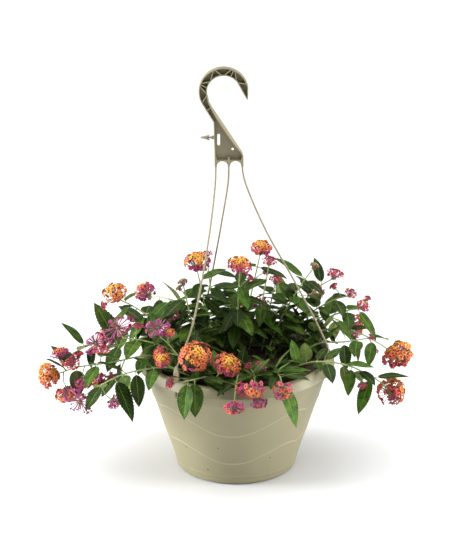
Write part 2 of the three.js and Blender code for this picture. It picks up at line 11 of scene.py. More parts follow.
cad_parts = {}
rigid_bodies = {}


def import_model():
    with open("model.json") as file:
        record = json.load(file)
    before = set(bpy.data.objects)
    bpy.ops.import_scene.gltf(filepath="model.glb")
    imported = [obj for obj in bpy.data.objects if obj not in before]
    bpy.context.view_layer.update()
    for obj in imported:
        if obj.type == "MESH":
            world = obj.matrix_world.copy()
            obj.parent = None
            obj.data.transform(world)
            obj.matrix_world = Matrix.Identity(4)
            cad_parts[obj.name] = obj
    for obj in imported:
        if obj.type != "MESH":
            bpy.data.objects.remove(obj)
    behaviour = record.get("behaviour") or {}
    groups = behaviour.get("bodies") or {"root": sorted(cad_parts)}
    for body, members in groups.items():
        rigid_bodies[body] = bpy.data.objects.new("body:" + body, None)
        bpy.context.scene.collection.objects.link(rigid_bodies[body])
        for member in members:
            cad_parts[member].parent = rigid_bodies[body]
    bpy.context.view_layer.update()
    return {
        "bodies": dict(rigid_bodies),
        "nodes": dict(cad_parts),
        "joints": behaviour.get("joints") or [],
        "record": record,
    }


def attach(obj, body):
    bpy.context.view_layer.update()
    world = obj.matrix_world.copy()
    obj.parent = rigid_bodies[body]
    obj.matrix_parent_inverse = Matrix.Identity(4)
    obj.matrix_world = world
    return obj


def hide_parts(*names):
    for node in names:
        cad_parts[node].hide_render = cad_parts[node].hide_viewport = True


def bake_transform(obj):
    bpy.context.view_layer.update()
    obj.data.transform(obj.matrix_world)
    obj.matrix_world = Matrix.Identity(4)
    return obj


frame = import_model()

MM = 0.001

# ---------------------------------------------------------------- camera

CAMERA_DISTANCE = 3.0
CAMERA_ELEVATION = math.radians(20.05)
CAMERA_TARGET = Vector((-0.00575, 0.0, 0.302))
CAMERA_LENS = 126.9


def add_object(name, data):
    thing = bpy.data.objects.new(name, data)
    bpy.context.collection.objects.link(thing)
    return thing


def add_camera():
    data = bpy.data.cameras.new("camera")
    data.lens = CAMERA_LENS
    camera = add_object("camera", data)
    back = Vector((0, -math.cos(CAMERA_ELEVATION), math.sin(CAMERA_ELEVATION)))
    camera.location = CAMERA_TARGET + back * CAMERA_DISTANCE
    camera.rotation_euler = (math.pi / 2 - CAMERA_ELEVATION, 0, 0)
    bpy.context.scene.camera = camera


add_camera()
bpy.context.scene.view_settings.view_transform = "Standard"

# ---------------------------------------------------------------- helpers


def linear(colour):
    """An sRGB colour from 0 to 255 as linear values."""
    values = [c / 255 for c in colour]
    return [v / 12.92 if v < 0.04045 else ((v + 0.055) / 1.055) ** 2.4 for v in values]


def chance(seed):
    """A repeatable stand-in for chance, from 0 to 1."""
    wave = math.sin(seed * 12.9898) * 43758.5453
    return wave - math.floor(wave)


def draws(seed, number=1):
    """A function that gives draws of chance by their steps from the seed."""
    return lambda step: chance(seed + number * step)


def unit(v):
    v = np.asarray(v, float)
    return v / np.linalg.norm(v)


def mesh_object(name, vertices, faces, materials, face_material=None, uv=None, colour=None):
    """A smooth-shaded mesh object. uv and colour hold one row for each vertex."""
    mesh = bpy.data.meshes.new(name)
    mesh.from_pydata([tuple(v) for v in vertices], [], [tuple(f) for f in faces])
    for material in materials:
        mesh.materials.append(material)
    if face_material is not None:
        mesh.polygons.foreach_set("material_index", np.asarray(face_material, np.int32))
    if uv is not None:
        loops = np.empty(len(mesh.loops), np.int32)
        mesh.loops.foreach_get("vertex_index", loops)
        layer = mesh.uv_layers.new(name="UVMap")
        layer.data.foreach_set("uv", np.asarray(uv, np.float32)[loops].ravel())
    if colour is not None:
        layer = mesh.color_attributes.new("tint", "FLOAT_COLOR", "POINT")
        rgba = np.ones((len(vertices), 4), np.float32)
        rgba[:, :3] = colour
        layer.data.foreach_set("color", rgba.ravel())
    mesh.polygons.foreach_set("use_smooth", np.ones(len(mesh.polygons), bool))
    mesh.update()
    return add_object(name, mesh)


def from_bmesh(name, work):
    """An object made of a bmesh, which is used up."""
    mesh = bpy.data.meshes.new(name)
    work.to_mesh(mesh)
    work.free()
    return add_object(name, mesh)


class Heap:
    """Gathers many small meshes into one."""

    def __init__(self):
        self.vertices, self.faces, self.uv, self.colour, self.material = [], [], [], [], []
        self.count = 0

    def add(self, vertices, faces, uv=0.0, colour=1.0, material=0):
        """uv and colour hold one row for each vertex, or one for all of them. material is an
        index for each face, or one for all."""
        total = len(vertices)
        self.vertices.append(np.asarray(vertices, float))
        self.faces.extend([tuple(i + self.count for i in face) for face in faces])
        self.uv.append(np.broadcast_to(uv, (total, 2)))
        self.colour.append(np.broadcast_to(colour, (total, 3)))
        self.material.extend([material] * len(faces) if isinstance(material, int) else material)
        self.count += total

    def take(self, other, material):
        """Adds all of another heap, in one material."""
        self.add(np.vstack(other.vertices), other.faces, colour=np.vstack(other.colour),
                 material=material)

    def build(self, name, materials):
        return mesh_object(name, np.vstack(self.vertices), self.faces, materials,
                           self.material, np.vstack(self.uv), np.vstack(self.colour))


def grid_faces(rows, columns, wrap):
    """Quads of a grid of rows by columns; wrap joins the last column to the first."""
    faces = []
    last = columns if wrap else columns - 1
    for i in range(rows - 1):
        for j in range(last):
            k = (j + 1) % columns
            faces.append((i * columns + j, i * columns + k, (i + 1) * columns + k,
                          (i + 1) * columns + j))
    return faces
def loft_faces(rows, sides):
    """Faces of rings closed by a point before the first and one after the last."""
    faces = [tuple(1 + i for i in face) for face in grid_faces(rows, sides, True)]
    last = 1 + rows * sides
    for j in range(sides):
        k = (j + 1) % sides
        faces.append((0, 1 + k, 1 + j))
        faces.append((last, last - sides + j, last - sides + k))
    return faces


def modify(piece, kind, **settings):
    """Replaces the piece's mesh by what a modifier makes of it."""
    modifier = piece.modifiers.new(kind.lower(), kind)
    for key, value in settings.items():
        setattr(modifier, key, value)
    graph = bpy.context.evaluated_depsgraph_get()
    mesh = bpy.data.meshes.new_from_object(piece.evaluated_get(graph))
    piece.modifiers.clear()
    piece.data = mesh


def bevel(piece, width):
    modify(piece, "BEVEL", width=width * MM, segments=2, limit_method="ANGLE",
           angle_limit=math.radians(40))


def combine(piece, tool, operation):
    """Cuts the piece by a tool, joins them, or keeps what they share. The tool is used up."""
    modify(piece, "BOOLEAN", operation=operation, object=tool, solver="MANIFOLD")
    bpy.data.objects.remove(tool)


def block(size, centre, turn):
    """A plain cutting block, in a frame turned about +Z."""
    work = bmesh.new()
    bmesh.ops.create_cube(work, size=1)
    matrix = Matrix.Rotation(turn, 4, "Z") @ Matrix.Translation(centre)
    bmesh.ops.transform(work, matrix=matrix @ Matrix.Diagonal((*size, 1)), verts=work.verts)
    return from_bmesh("block", work)


def prism(name, outline, front, back, axis="Y", front_outline=None):
    """A flat outline in X and Z given thickness along Y, or in Y and Z given it along X, in
    millimetres. Its front may have an outline of its own, with as many points."""
    count = len(outline)
    work = bmesh.new()
    made = []
    for depth, edge in ((back, outline), (front, front_outline or outline)):
        for a, z in edge:
            place = (a, depth, z) if axis == "Y" else (depth, a, z)
            made.append(work.verts.new([value * MM for value in place]))
    faces = [tuple(range(count)), tuple(range(2 * count - 1, count - 1, -1))]
    for i in range(count):
        j = (i + 1) % count
        faces.append((j, i, count + i, count + j))
    for face in faces:
        work.faces.new([made[i] for i in face])
    bmesh.ops.recalc_face_normals(work, faces=work.faces)
    return from_bmesh(name, work)


def shape(piece, operation, outline, front, back, axis="Y"):
    """Combines the piece with a prism."""
    combine(piece, prism("tool", outline, front, back, axis), operation)


def arc(centre, radius, start, end, count):
    angles = np.radians(np.linspace(start, end, count + 1))
    return [(centre[0] + radius * math.cos(a), centre[1] + radius * math.sin(a))
            for a in angles]


def inset(outline, distance):
    """The outline moved inwards; it runs clockwise. distance gives how far, for a point."""
    moved = []
    count = len(outline)
    for i in range(count):
        before, point, after = (np.array(outline[(i + k) % count]) for k in (-1, 0, 1))
        first, second = unit(point - before), unit(after - point)
        normal = unit((first[1] + second[1], -first[0] - second[0]))
        share = max(0.5, normal[0] * first[1] - normal[1] * first[0])
        moved.append(tuple(point + normal * (distance(point) / share)))
    return moved


class Route:
    """A smooth curve through way points, with points spaced by length along it."""

    STEPS = 60

    def __init__(self, points):
        points = [np.asarray(p, float) for p in points]
        ends = [2 * points[0] - points[1], *points, 2 * points[-1] - points[-2]]
        fine = []
        for a, b, c, d in zip(ends, ends[1:], ends[2:], ends[3:]):
            t0, t1, t2 = (max(np.linalg.norm(q - p) ** 0.5, 1e-6)
                          for p, q in ((a, b), (b, c), (c, d)))
            start = t1 * ((b - a) / t0 - (c - a) / (t0 + t1) + (c - b) / t1)
            stop = t1 * ((c - b) / t1 - (d - b) / (t1 + t2) + (d - c) / t2)
            for k in range(self.STEPS):
                u = k / self.STEPS
                fine.append(b + start * u + (3 * (c - b) - 2 * start - stop) * u * u
                            + (2 * (b - c) + start + stop) * u ** 3)
        fine.append(points[-1])
        self.points = np.array(fine)
        steps = np.linalg.norm(np.diff(self.points, axis=0), axis=1)
        self.reach = np.concatenate([[0], np.cumsum(steps)])
        self.length = self.reach[-1]

    def at(self, place):
        where = np.clip(np.asarray(place, float), 0, 1) * self.length
        return np.stack([np.interp(where, self.reach, self.points[:, k]) for k in range(3)], -1)

    def tangent(self, place):
        return unit(self.at(min(1, place + 1e-3)) - self.at(max(0, place - 1e-3)))


def even_angles(count):
    return np.arange(count) / count * 2 * math.pi


def sweep(route, places, widths, sides, squareness=0.0):
    """Vertices, faces and UV of a closed tube along a route. widths holds a radius for each
    place, or a pair of radii, side to side and front to back."""
    angles = even_angles(sides) + math.pi / sides
    bulge = 1 - squareness * (0.5 + 0.5 * np.cos(4 * angles)) * 0.3
    side = unit(np.cross(route.tangent(places[0]), (0.13, 1, 0.07)))
    rings = []
    for place, width in zip(places, widths):
        tangent = route.tangent(place)
        side = unit(side - tangent * np.dot(side, tangent))
        other = np.cross(tangent, side)
        a, b = np.broadcast_to(width, 2)
        ring = (np.outer(np.cos(angles) * bulge * a, side)
                + np.outer(np.sin(angles) * bulge * b, other))
        rings.append(route.at(place) + ring)
    vertices = np.vstack([[route.at(places[0])], *rings, [route.at(places[-1])]])
    along = np.concatenate([[0], np.repeat(places, sides), [1]])
    around = np.concatenate([[0], np.tile(np.arange(sides) / sides, len(places)), [0]])
    return vertices, loft_faces(len(places), sides), np.stack([along, around], 1)


# ---------------------------------------------------------------- materials

BLACK, WHITE = (0, 0, 0), (1, 1, 1)


class Nodes:
    """Builds one material from named nodes."""

    def __init__(self, name):
        self.material = bpy.data.materials.new(name)
        self.material.use_nodes = True
        self.tree = self.material.node_tree
        self.shader = self.tree.nodes["Principled BSDF"]

    def add(self, kind, **values):
        node = self.tree.nodes.new("ShaderNode" + kind)
        for key, value in values.items():
            if key in node.inputs:
                node.inputs[key].default_value = value
            else:
                setattr(node, key, value)
        return node

    def feed(self, value, socket):
        """Links an output to a socket, or sets the socket to a number or a colour."""
        if isinstance(value, bpy.types.NodeSocket):
            self.tree.links.new(value, socket)
        else:
            socket.default_value = value if isinstance(value, (int, float)) else (*value, 1)

    def set(self, **values):
        """Constants of the shader, under its sockets' names with _ for each space."""
        for key, value in values.items():
            self.shader.inputs[key.replace("_", " ")].default_value = value

    def uv(self):
        split = self.add("SeparateXYZ")
        self.feed(self.add("TexCoord").outputs["UV"], split.inputs[0])
        return split.outputs[0], split.outputs[1]

    def tint(self):
        return self.add("Attribute", attribute_name="tint").outputs["Color"]

    def noise(self, scale, detail=3.0, roughness=0.5):
        node = self.add("TexNoise", Scale=scale, Detail=detail, Roughness=roughness)
        self.feed(self.add("TexCoord").outputs["Object"], node.inputs["Vector"])
        return node.outputs["Fac"]

    def ramp(self, source, stops):
        node = self.add("ValToRGB")
        elements = node.color_ramp.elements
        while len(elements) < len(stops):
            elements.new(0.5)
        for element, (place, colour) in zip(elements, stops):
            element.position = place
            element.color = (*colour, 1)
        self.feed(source, node.inputs["Fac"])
        return node.outputs["Color"]

    def mix(self, factor, first, second, blend="MIX"):
        node = self.add("Mix", data_type="RGBA", blend_type=blend)
        for value, index in ((factor, 0), (first, 6), (second, 7)):
            self.feed(value, node.inputs[index])
        return node.outputs[2]

    def math(self, operation, *values):
        node = self.add("Math", operation=operation)
        for value, socket in zip(values, node.inputs):
            self.feed(value, socket)
        return node.outputs[0]

    def times(self, first, second):
        return self.math("MULTIPLY", first, second)

    def minus(self, first, second):
        return self.math("SUBTRACT", first, second)

    def bump(self, height, distance, strength):
        node = self.add("Bump", Distance=distance, Strength=strength)
        self.feed(height, node.inputs["Height"])
        self.feed(node.outputs["Normal"], self.shader.inputs["Normal"])

    def colour(self, source):
        self.feed(source, self.shader.inputs["Base Color"])

    def roughness(self, source, low, high):
        node = self.add("MapRange", **{"To Min": low, "To Max": high})
        self.feed(source, node.inputs["Value"])
        self.feed(node.outputs["Result"], self.shader.inputs["Roughness"])


def plastic(name, light, dark, specks):
    """Moulded polypropylene: a faint mottle, fine grain and a few specks of potting dirt."""
    nodes = Nodes(name)
    mottle = nodes.noise(9, 4)
    base = nodes.ramp(mottle, [(0.3, linear(dark)), (0.7, linear(light))])
    dirt = nodes.noise(70, 2, 0.7)
    streak = nodes.ramp(dirt, [(specks, BLACK), (specks + 0.02, WHITE)])
    nodes.colour(nodes.mix(streak, base, linear((96, 80, 52))))
    grain = nodes.noise(900, 2)
    nodes.bump(nodes.math("ADD", grain, nodes.times(mottle, 2.0)), 0.00005, 0.6)
    nodes.roughness(nodes.noise(40, 3), 0.42, 0.58)
    nodes.set(Specular_IOR_Level=0.42, Subsurface_Weight=0.06,
              Subsurface_Radius=(0.004, 0.003, 0.002))
    return nodes.material


def soil_material():
    nodes = Nodes("peat")
    crumbs = nodes.noise(260, 6, 0.75)
    patches = nodes.noise(60, 3)
    base = nodes.ramp(crumbs, [(0.3, linear((24, 19, 10))), (0.5, linear((62, 49, 28))),
                               (0.68, linear((124, 102, 64)))])
    nodes.colour(nodes.mix(nodes.times(patches, 0.5), base, linear((22, 17, 12))))
    nodes.bump(crumbs, 0.0012, 0.8)
    nodes.roughness(crumbs, 0.8, 1.0)
    return nodes.material


def leaf_material(name, dark, light, vein, vein_strength, gloss):
    """A leaf face. The mesh's UV runs along the leaf and across it, with 0.5 on the midrib."""
    nodes = Nodes(name)
    along, across = nodes.uv()
    off = nodes.math("ABSOLUTE", nodes.minus(across, 0.5))
    # side veins leave the midrib forwards and curve towards the tip
    run = nodes.minus(nodes.times(along, 9.0), nodes.times(nodes.math("POWER", off, 1.3), 5.4))
    beat = nodes.math("ABSOLUTE", nodes.minus(nodes.math("FRACT", run), 0.5))
    side_vein = nodes.math("GREATER_THAN", beat, 0.47)
    soft_vein = nodes.math("POWER", nodes.times(beat, 2.0), 6.0)
    midrib = nodes.math("LESS_THAN", off, 0.018)
    veins = nodes.math("MAXIMUM", midrib, nodes.times(side_vein, 0.55))
    mottle = nodes.noise(120, 4, 0.6)
    tint = nodes.tint()
    base = nodes.ramp(mottle, [(0.3, linear(dark)), (0.72, linear(light))])
    base = nodes.mix(1.0, base, tint, "MULTIPLY")
    nodes.colour(nodes.mix(nodes.times(veins, vein_strength), base, linear(vein)))
    fine = nodes.noise(700, 3, 0.7)
    nodes.bump(nodes.minus(nodes.times(fine, 0.35), soft_vein), 0.0005, 0.7)
    nodes.roughness(fine, gloss, gloss + 0.2)
    nodes.set(Specular_IOR_Level=0.15, Subsurface_Weight=0.12,
              Subsurface_Radius=(0.001, 0.002, 0.0006))
    return nodes.material


def stem_material():
    """Green stems that turn woody towards the soil, where the mesh's first UV value is 0."""
    nodes = Nodes("stem")
    along, _ = nodes.uv()
    streaks = nodes.noise(300, 4)
    green = nodes.ramp(streaks, [(0.3, linear((104, 128, 62))), (0.7, linear((158, 172, 108)))])
    woody = nodes.ramp(along, [(0.0, WHITE), (0.3, BLACK)])
    nodes.colour(nodes.mix(woody, green, linear((112, 104, 66))))
    nodes.bump(streaks, 0.0003, 0.6)
    nodes.roughness(streaks, 0.5, 0.7)
    nodes.set(Subsurface_Weight=0.1, Subsurface_Radius=(0.001, 0.0015, 0.0006))
    return nodes.material


def petal_material():
    """Petals take their colour from the mesh's own tint, with fine streaks and a soft sheen."""
    nodes = Nodes("petal")
    tint = nodes.tint()
    streaks = nodes.noise(900, 3, 0.6)
    shade = nodes.ramp(streaks, [(0.25, (0.72, 0.66, 0.66)), (0.7, WHITE)])
    nodes.colour(nodes.mix(0.6, tint, nodes.mix(1.0, tint, shade, "MULTIPLY")))
    nodes.bump(streaks, 0.0002, 0.6)
    nodes.roughness(streaks, 0.45, 0.65)
    nodes.set(Sheen_Weight=0.08, Sheen_Roughness=0.4, Subsurface_Weight=0.18,
              Subsurface_Radius=(0.002, 0.001, 0.0006))
    return nodes.material


POT_PLASTIC = plastic("pot_plastic", (141, 135, 106), (133, 127, 99), 0.80)
# A lighter copy of the pot plastic for the swag beads' faces: a painted highlight along each bead.
POT_BEAD_HIGHLIGHT = plastic("pot_bead_painted_highlight", (155, 149, 118), (149, 143, 113), 0.86)
HANGER_PLASTIC = plastic("hanger_plastic", (147, 138, 110), (136, 127, 100), 0.86)
PEAT = soil_material()
LEAF_TOP = leaf_material("leaf_top", (24, 46, 8), (64, 92, 22), (136, 156, 80), 0.5, 0.44)
LEAF_UNDER = leaf_material("leaf_under", (94, 118, 60), (130, 150, 86), (166, 178, 122),
                           0.6, 0.6)
STEM = stem_material()
PETAL = petal_material()

# ---------------------------------------------------------------- pot

POT_HEIGHT = 180
RIM_RADIUS = 152.5
NECK_RADIUS = 138.7
NECK_BOTTOM = 149
SKIRT_HEIGHT = 13
WALL = 2
HEEL_RADIUS = 88
CONE_RADIUS = 95.8
CONE_BOTTOM = 13
CONE_SLOPE = (NECK_RADIUS - CONE_RADIUS) / (NECK_BOTTOM - CONE_BOTTOM)
SWAG_COUNT = 3
SWAG_CENTRE = -94
SWAG_HALF = 48
SWAG_STEP = 0.5
SWAG_BEAD = 0.55
BEAD_HALF = 1.6
UPPER_SWAG = (93, 31)
LOWER_SWAG = (39.5, 25)
CLIP_RADIUS = 142
CLIP_ANGLES = {"right": -9, "left": -129, "back": 111}
SPECKS = [(-104, 70, 1.3), (-134, 58, 1.2), (-116, 24, 1.2), (-61, 46, 0.9), (-20, 84, 1.0)]
POT_SEGMENTS = 360
# Cutting blocks for each clip, as size and centre in metres: the slot in the ledge, then the
# window in the wall below it.
CLIP_CUTS = [((0.0048, 0.0094, 0.012), (0.142, 0, 0.180)),
             ((0.008, 0.011, 0.010), (0.1377, -0.0012, 0.158))]
DRAIN_COUNT = 6
DRAIN_RADIUS = 5
DRAIN_CIRCLE = 68
CORNER_RADIUS = 0.7
CORNER_STEPS = 3


def cone_radius(z):
    return CONE_RADIUS + (z - CONE_BOTTOM) * CONE_SLOPE


def swag_height(swag, degrees):
    """Height of a swag line: three sagging arcs that meet at low saddles."""
    low, rise = swag
    period = 360 / SWAG_COUNT
    turns = (degrees - SWAG_CENTRE) / period
    away = np.abs(turns - np.round(turns)) * period
    climb = 0.5 - 0.5 * np.cos(np.pi * np.minimum(1, away / SWAG_HALF))
    saddle = np.maximum(0, (away - SWAG_HALF) / (period / 2 - SWAG_HALF))
    return low + rise * (climb - 0.2 * saddle * saddle)


def swag_rows(swag, above, below, skin, upwards=True):
    """Rows of a soft step along a swag line, as (swag, lift, offset). Outside, a thin rounded
    bead runs along it."""
    rows = []
    for lift in (-16, -12, -8, -5, -3, -BEAD_HALF, -1, -0.4, 0.4, 1, BEAD_HALF, 2.4):
        swell = 0.5 - 0.5 * math.cos(math.pi * min(1, (lift + 16) / 16))
        bead = 0 if skin else SWAG_BEAD * math.sqrt(max(0, 1 - (lift / BEAD_HALF) ** 2))
        rows.append((swag, lift, below + (above - below) * swell + bead - skin))
    return rows if upwards else rows[::-1]


def rounded(points):
    """Pairs (r, z) with each inner corner rounded off."""
    points = [np.array(p, float) for p in points]
    out = [tuple(points[0])]
    for before, corner, after in zip(points, points[1:], points[2:]):
        back, ahead = before - corner, after - corner
        trim = min(CORNER_RADIUS, np.linalg.norm(back) / 2.2, np.linalg.norm(ahead) / 2.2)
        start, end = corner + unit(back) * trim, corner + unit(ahead) * trim
        for k in range(CORNER_STEPS + 1):
            u = k / CORNER_STEPS
            out.append(tuple((1 - u) ** 2 * start + 2 * u * (1 - u) * corner + u * u * end))
    out.append(tuple(points[-1]))
    return out


def pot_rows():
    heel = [(0, 0), (40, 0), (80, 0), (HEEL_RADIUS - 0.5, 0)]
    heel += [(HEEL_RADIUS + 6.4 * math.sin(a), 6.4 * (1 - math.cos(a)))
             for a in np.radians(np.linspace(8, 72, 7))]
    heel_line = [(cone_radius(z) - SWAG_STEP + proud, z)
                 for z, proud in ((11, 0), (12, 0.1), (12.6, 0.5), (13.4, 0.5), (14.2, 0))]
    lower_wall = [*heel_line, *[(cone_radius(z) - SWAG_STEP, z) for z in (18, 22)]]
    rim = rounded([(cone_radius(NECK_BOTTOM - 3), NECK_BOTTOM - 3), (NECK_RADIUS, NECK_BOTTOM),
                   (NECK_RADIUS, POT_HEIGHT - 3.5), (RIM_RADIUS - 6.5, POT_HEIGHT - 3.5),
                   (RIM_RADIUS - 2, POT_HEIGHT - SKIRT_HEIGHT),
                   (RIM_RADIUS, POT_HEIGHT - SKIRT_HEIGHT), (146.6, POT_HEIGHT - 1.6),
                   (145.2, POT_HEIGHT), (138, POT_HEIGHT + 0.3),
                   (NECK_RADIUS - WALL, POT_HEIGHT - 0.8), (NECK_RADIUS - WALL, NECK_BOTTOM)])
    inside = [(cone_radius(z) - SWAG_STEP - WALL, z) for z in (22, 18, 14)]
    floor = [(HEEL_RADIUS + 3, 5.5), (HEEL_RADIUS - 1, WALL), (40, WALL), (0, WALL)]
    return [*heel, *lower_wall,
            *swag_rows(LOWER_SWAG, 0, -SWAG_STEP, 0),
            *swag_rows(UPPER_SWAG, SWAG_STEP, 0, 0),
            *rim,
            *swag_rows(UPPER_SWAG, SWAG_STEP, 0, WALL, False),
            *swag_rows(LOWER_SWAG, 0, -SWAG_STEP, WALL, False),
            *inside, *floor]


def turned(rows, segments):
    """Vertices and faces of a turned solid whose rows run from the axis and back to it."""
    degrees = np.arange(segments) * 360 / segments - 90
    across = np.stack([np.cos(np.radians(degrees)), np.sin(np.radians(degrees))], 1)
    rings = []
    for row in rows[1:-1]:
        if len(row) == 3:
            z = swag_height(row[0], degrees) + row[1]
            r = cone_radius(z) + row[2]
        else:
            r, z = (np.full(segments, value) for value in row)
        rings.append(np.column_stack([across * r[:, None], z]))
    vertices = np.vstack([[[0, 0, rows[0][1]]], *rings, [[0, 0, rows[-1][1]]]])
    return vertices * MM, loft_faces(len(rings), segments)


def add_specks(pot):
    """A few crumbs of peat stuck to the outside of the pot."""
    pot.data.materials.append(PEAT)
    work = bmesh.new()
    work.from_mesh(pot.data)
    for degrees, z, size in SPECKS:
        turn = math.radians(degrees)
        place = Matrix.Rotation(turn, 4, "Z") @ Matrix.Translation(
            ((cone_radius(z) - 0.3) * MM, 0, z * MM)) @ Matrix.Diagonal((0.5, 1.2, 0.8, 1))
        made = bmesh.ops.create_icosphere(work, subdivisions=2, radius=size * MM, matrix=place)
        for face in {f for v in made["verts"] for f in v.link_faces}:
            face.material_index = len(pot.data.materials) - 1
            face.smooth = True
    work.to_mesh(pot.data)
    work.free()


def make_pot():
    rows = pot_rows()
    vertices, faces = turned(rows, POT_SEGMENTS)
    pot = mesh_object("pot", vertices, faces, [POT_PLASTIC, POT_BEAD_HIGHLIGHT])
    # Faces between two bead rows take the lighter plastic, a painted highlight along the swag
    # lines.
    bead_highlight_rows = [len(row) == 3 and abs(row[1]) <= BEAD_HALF for row in rows[1:-1]]
    for i, (first, second) in enumerate(zip(bead_highlight_rows, bead_highlight_rows[1:])):
        if first and second:
            for face in range(i * POT_SEGMENTS, (i + 1) * POT_SEGMENTS):
                pot.data.polygons[face].material_index = 1
    for degrees in CLIP_ANGLES.values():
        for size, centre in CLIP_CUTS:
            combine(pot, block(size, centre, math.radians(degrees)), "DIFFERENCE")
    for i in range(DRAIN_COUNT):
        turn = 2 * math.pi * (i + 0.5) / DRAIN_COUNT
        work = bmesh.new()
        bmesh.ops.create_cone(work, cap_ends=True, segments=32, radius1=DRAIN_RADIUS * MM,
                              radius2=DRAIN_RADIUS * MM, depth=0.01)
        drain = from_bmesh("drain", work)
        drain.location = Vector((math.cos(turn), math.sin(turn), 0)) * DRAIN_CIRCLE * MM
        combine(pot, drain, "DIFFERENCE")
    add_specks(pot)
    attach(pot, "root")
    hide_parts("pot_shell")


make_pot()

# ---------------------------------------------------------------- growing medium

SOIL_EDGE = 166
SOIL_CROWN = 170
SOIL_RADIUS = 135
LUMP_COUNT = 420
LUMP_CIRCLE = 132


def soil_level(r):
    return SOIL_EDGE + (SOIL_CROWN - SOIL_EDGE) * (1 - (r / SOIL_RADIUS) ** 2)


def make_soil():
    """The root ball: a crumbly top inside smooth sides, with loose lumps of bark on it."""
    sides = [(0, 2.35), (50, 2.35), (HEEL_RADIUS - 3, 2.35), (HEEL_RADIUS + 1.5, 7)]
    sides += [(cone_radius(z) - SWAG_STEP - WALL - 0.4, z) for z in (15, 60, 105, 145)]
    sides += [(NECK_RADIUS - WALL - 1.2, SOIL_EDGE - 3)]
    top = [(r, soil_level(r)) for r in np.linspace(SOIL_RADIUS - 0.5, 1.5, 56)]
    vertices, faces = turned([*sides, *top, (0, SOIL_CROWN)], 200)
    for v in vertices:
        if v[2] > (SOIL_EDGE - 1) * MM:
            coarse = noise.noise(Vector(v) * 60)
            fine = noise.noise(Vector(v) * 260)
            v[2] += 0.0022 * coarse + 0.0016 * fine - 0.001
    heap = Heap()
    heap.add(vertices, faces)
    for i in range(LUMP_COUNT):
        angle = 2 * math.pi * chance(i + 0.3)
        r = LUMP_CIRCLE * math.sqrt(chance(i + 900.7))
        size = 0.9 + 2.2 * chance(i + 50.1) ** 3
        spot = Vector((r * math.cos(angle), r * math.sin(angle), soil_level(r))) * MM
        work = bmesh.new()
        bmesh.ops.create_icosphere(work, subdivisions=1, radius=size * MM)
        points = []
        for v in work.verts:
            stretch = 1 + 0.5 * noise.noise(v.co * 900 + Vector((i, 0, 0)))
            points.append(spot + Vector((v.co.x * stretch * 1.4, v.co.y * stretch, v.co.z * 0.7)))
        heap.add(points, [tuple(v.index for v in f.verts) for f in work.faces])
        work.free()
    soil = heap.build("growing_medium_surface", [PEAT])
    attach(soil, "root")
    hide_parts("growing_medium")


make_soil()

# ---------------------------------------------------------------- hanger

HOOK_CENTRE = (-18.8, 596)
HOOK_OUTER = 37
HOOK_INNER = 24.4
HOOK_DEPTH = 9.5
FOLD_HEIGHT = 482
FOOT_RADIUS = 1.6
POCKET_FLOOR = 491.5
STRAND_ROOTS = {"left": -30.7, "back": -11.3, "right": 9}
SHANK_TOP = (-37.2, 573.8)
SHANK_FOOT = (7.4, 505)
ARCHES = [(-21, 8.1), (-1.15, 8.4)]
# Ribs across the hook: angles of their outer and inner ends.
HOOK_RIBS = [(20, 34), (62, 43), (66, 66), (72, 87), (111, 97), (115, 140), (158, 143),
             (161, 165), (166, 185), (207, 192)]
RIB_WIDTH = 1.4
RIB_INSET = 0.9             # a rib's ends from the edges of the hook
SHANK_RIB = ((-44.2, 568.4), (-37.0, 572.6), 1.1)
POCKET_WALL = 1.3
POCKET_BACK = 1.5
THROUGH = 20                # deep enough to cut right through the plate
BARB = [(-32.6, 523.6), (-36.5, 523.4), (-37.5, 524.8), (-44, 524.9), (-39.6, 521.4),
        (-45, 523.5), (-53, 525.2), (-53, 525.8), (-45, 527.5), (-39.6, 529.6),
        (-44, 526.1), (-37.5, 526.2), (-36.5, 527.6), (-32.6, 527.4)]
TAG_SLOT = [((-26.4, 514.5), 180, 360), ((-26.4, 528.5), 0, 180)]
TAG_SLOT_RADIUS = 2.1


def bar(start, end, width):
    """The outline of a straight rib between two points in X and Z."""
    start, end = np.array(start), np.array(end)
    side = unit((end - start)[::-1] * (1, -1)) * width / 2
    return [tuple(start + side), tuple(end + side), tuple(end - side), tuple(start - side)]


def draft(point):
    """How far the plate's edge leans in from back to front: most along the slanting shank."""
    (x, z), (top_x, top_z), (low_x, low_z) = point, SHANK_TOP, SHANK_FOOT
    down = (top_z - z) / (top_z - low_z)
    on_shank = 0 < down < 1 and abs(x - top_x - (low_x - top_x) * down) < 1
    return 0.5 + (2.2 * math.sin(math.pi * down) ** 0.7 if on_shank else 0)


def hook_outline(tip):
    """The plate's outline with the shank in short steps and the given points at the tip."""
    steps = np.linspace(SHANK_TOP, SHANK_FOOT, 13)
    return [(-32.3, FOLD_HEIGHT + 1), (-34.2, 550), (-44.9, 567.7),
            *arc(HOOK_CENTRE, HOOK_OUTER, 207, 10, 60), *tip,
            *arc(HOOK_CENTRE, HOOK_INNER, 35, 200, 48),
            (-40.4, 580.5), *[tuple(p) for p in steps], (9.6, 501), (10.5, 497),
            (10.7, FOLD_HEIGHT + 1)]


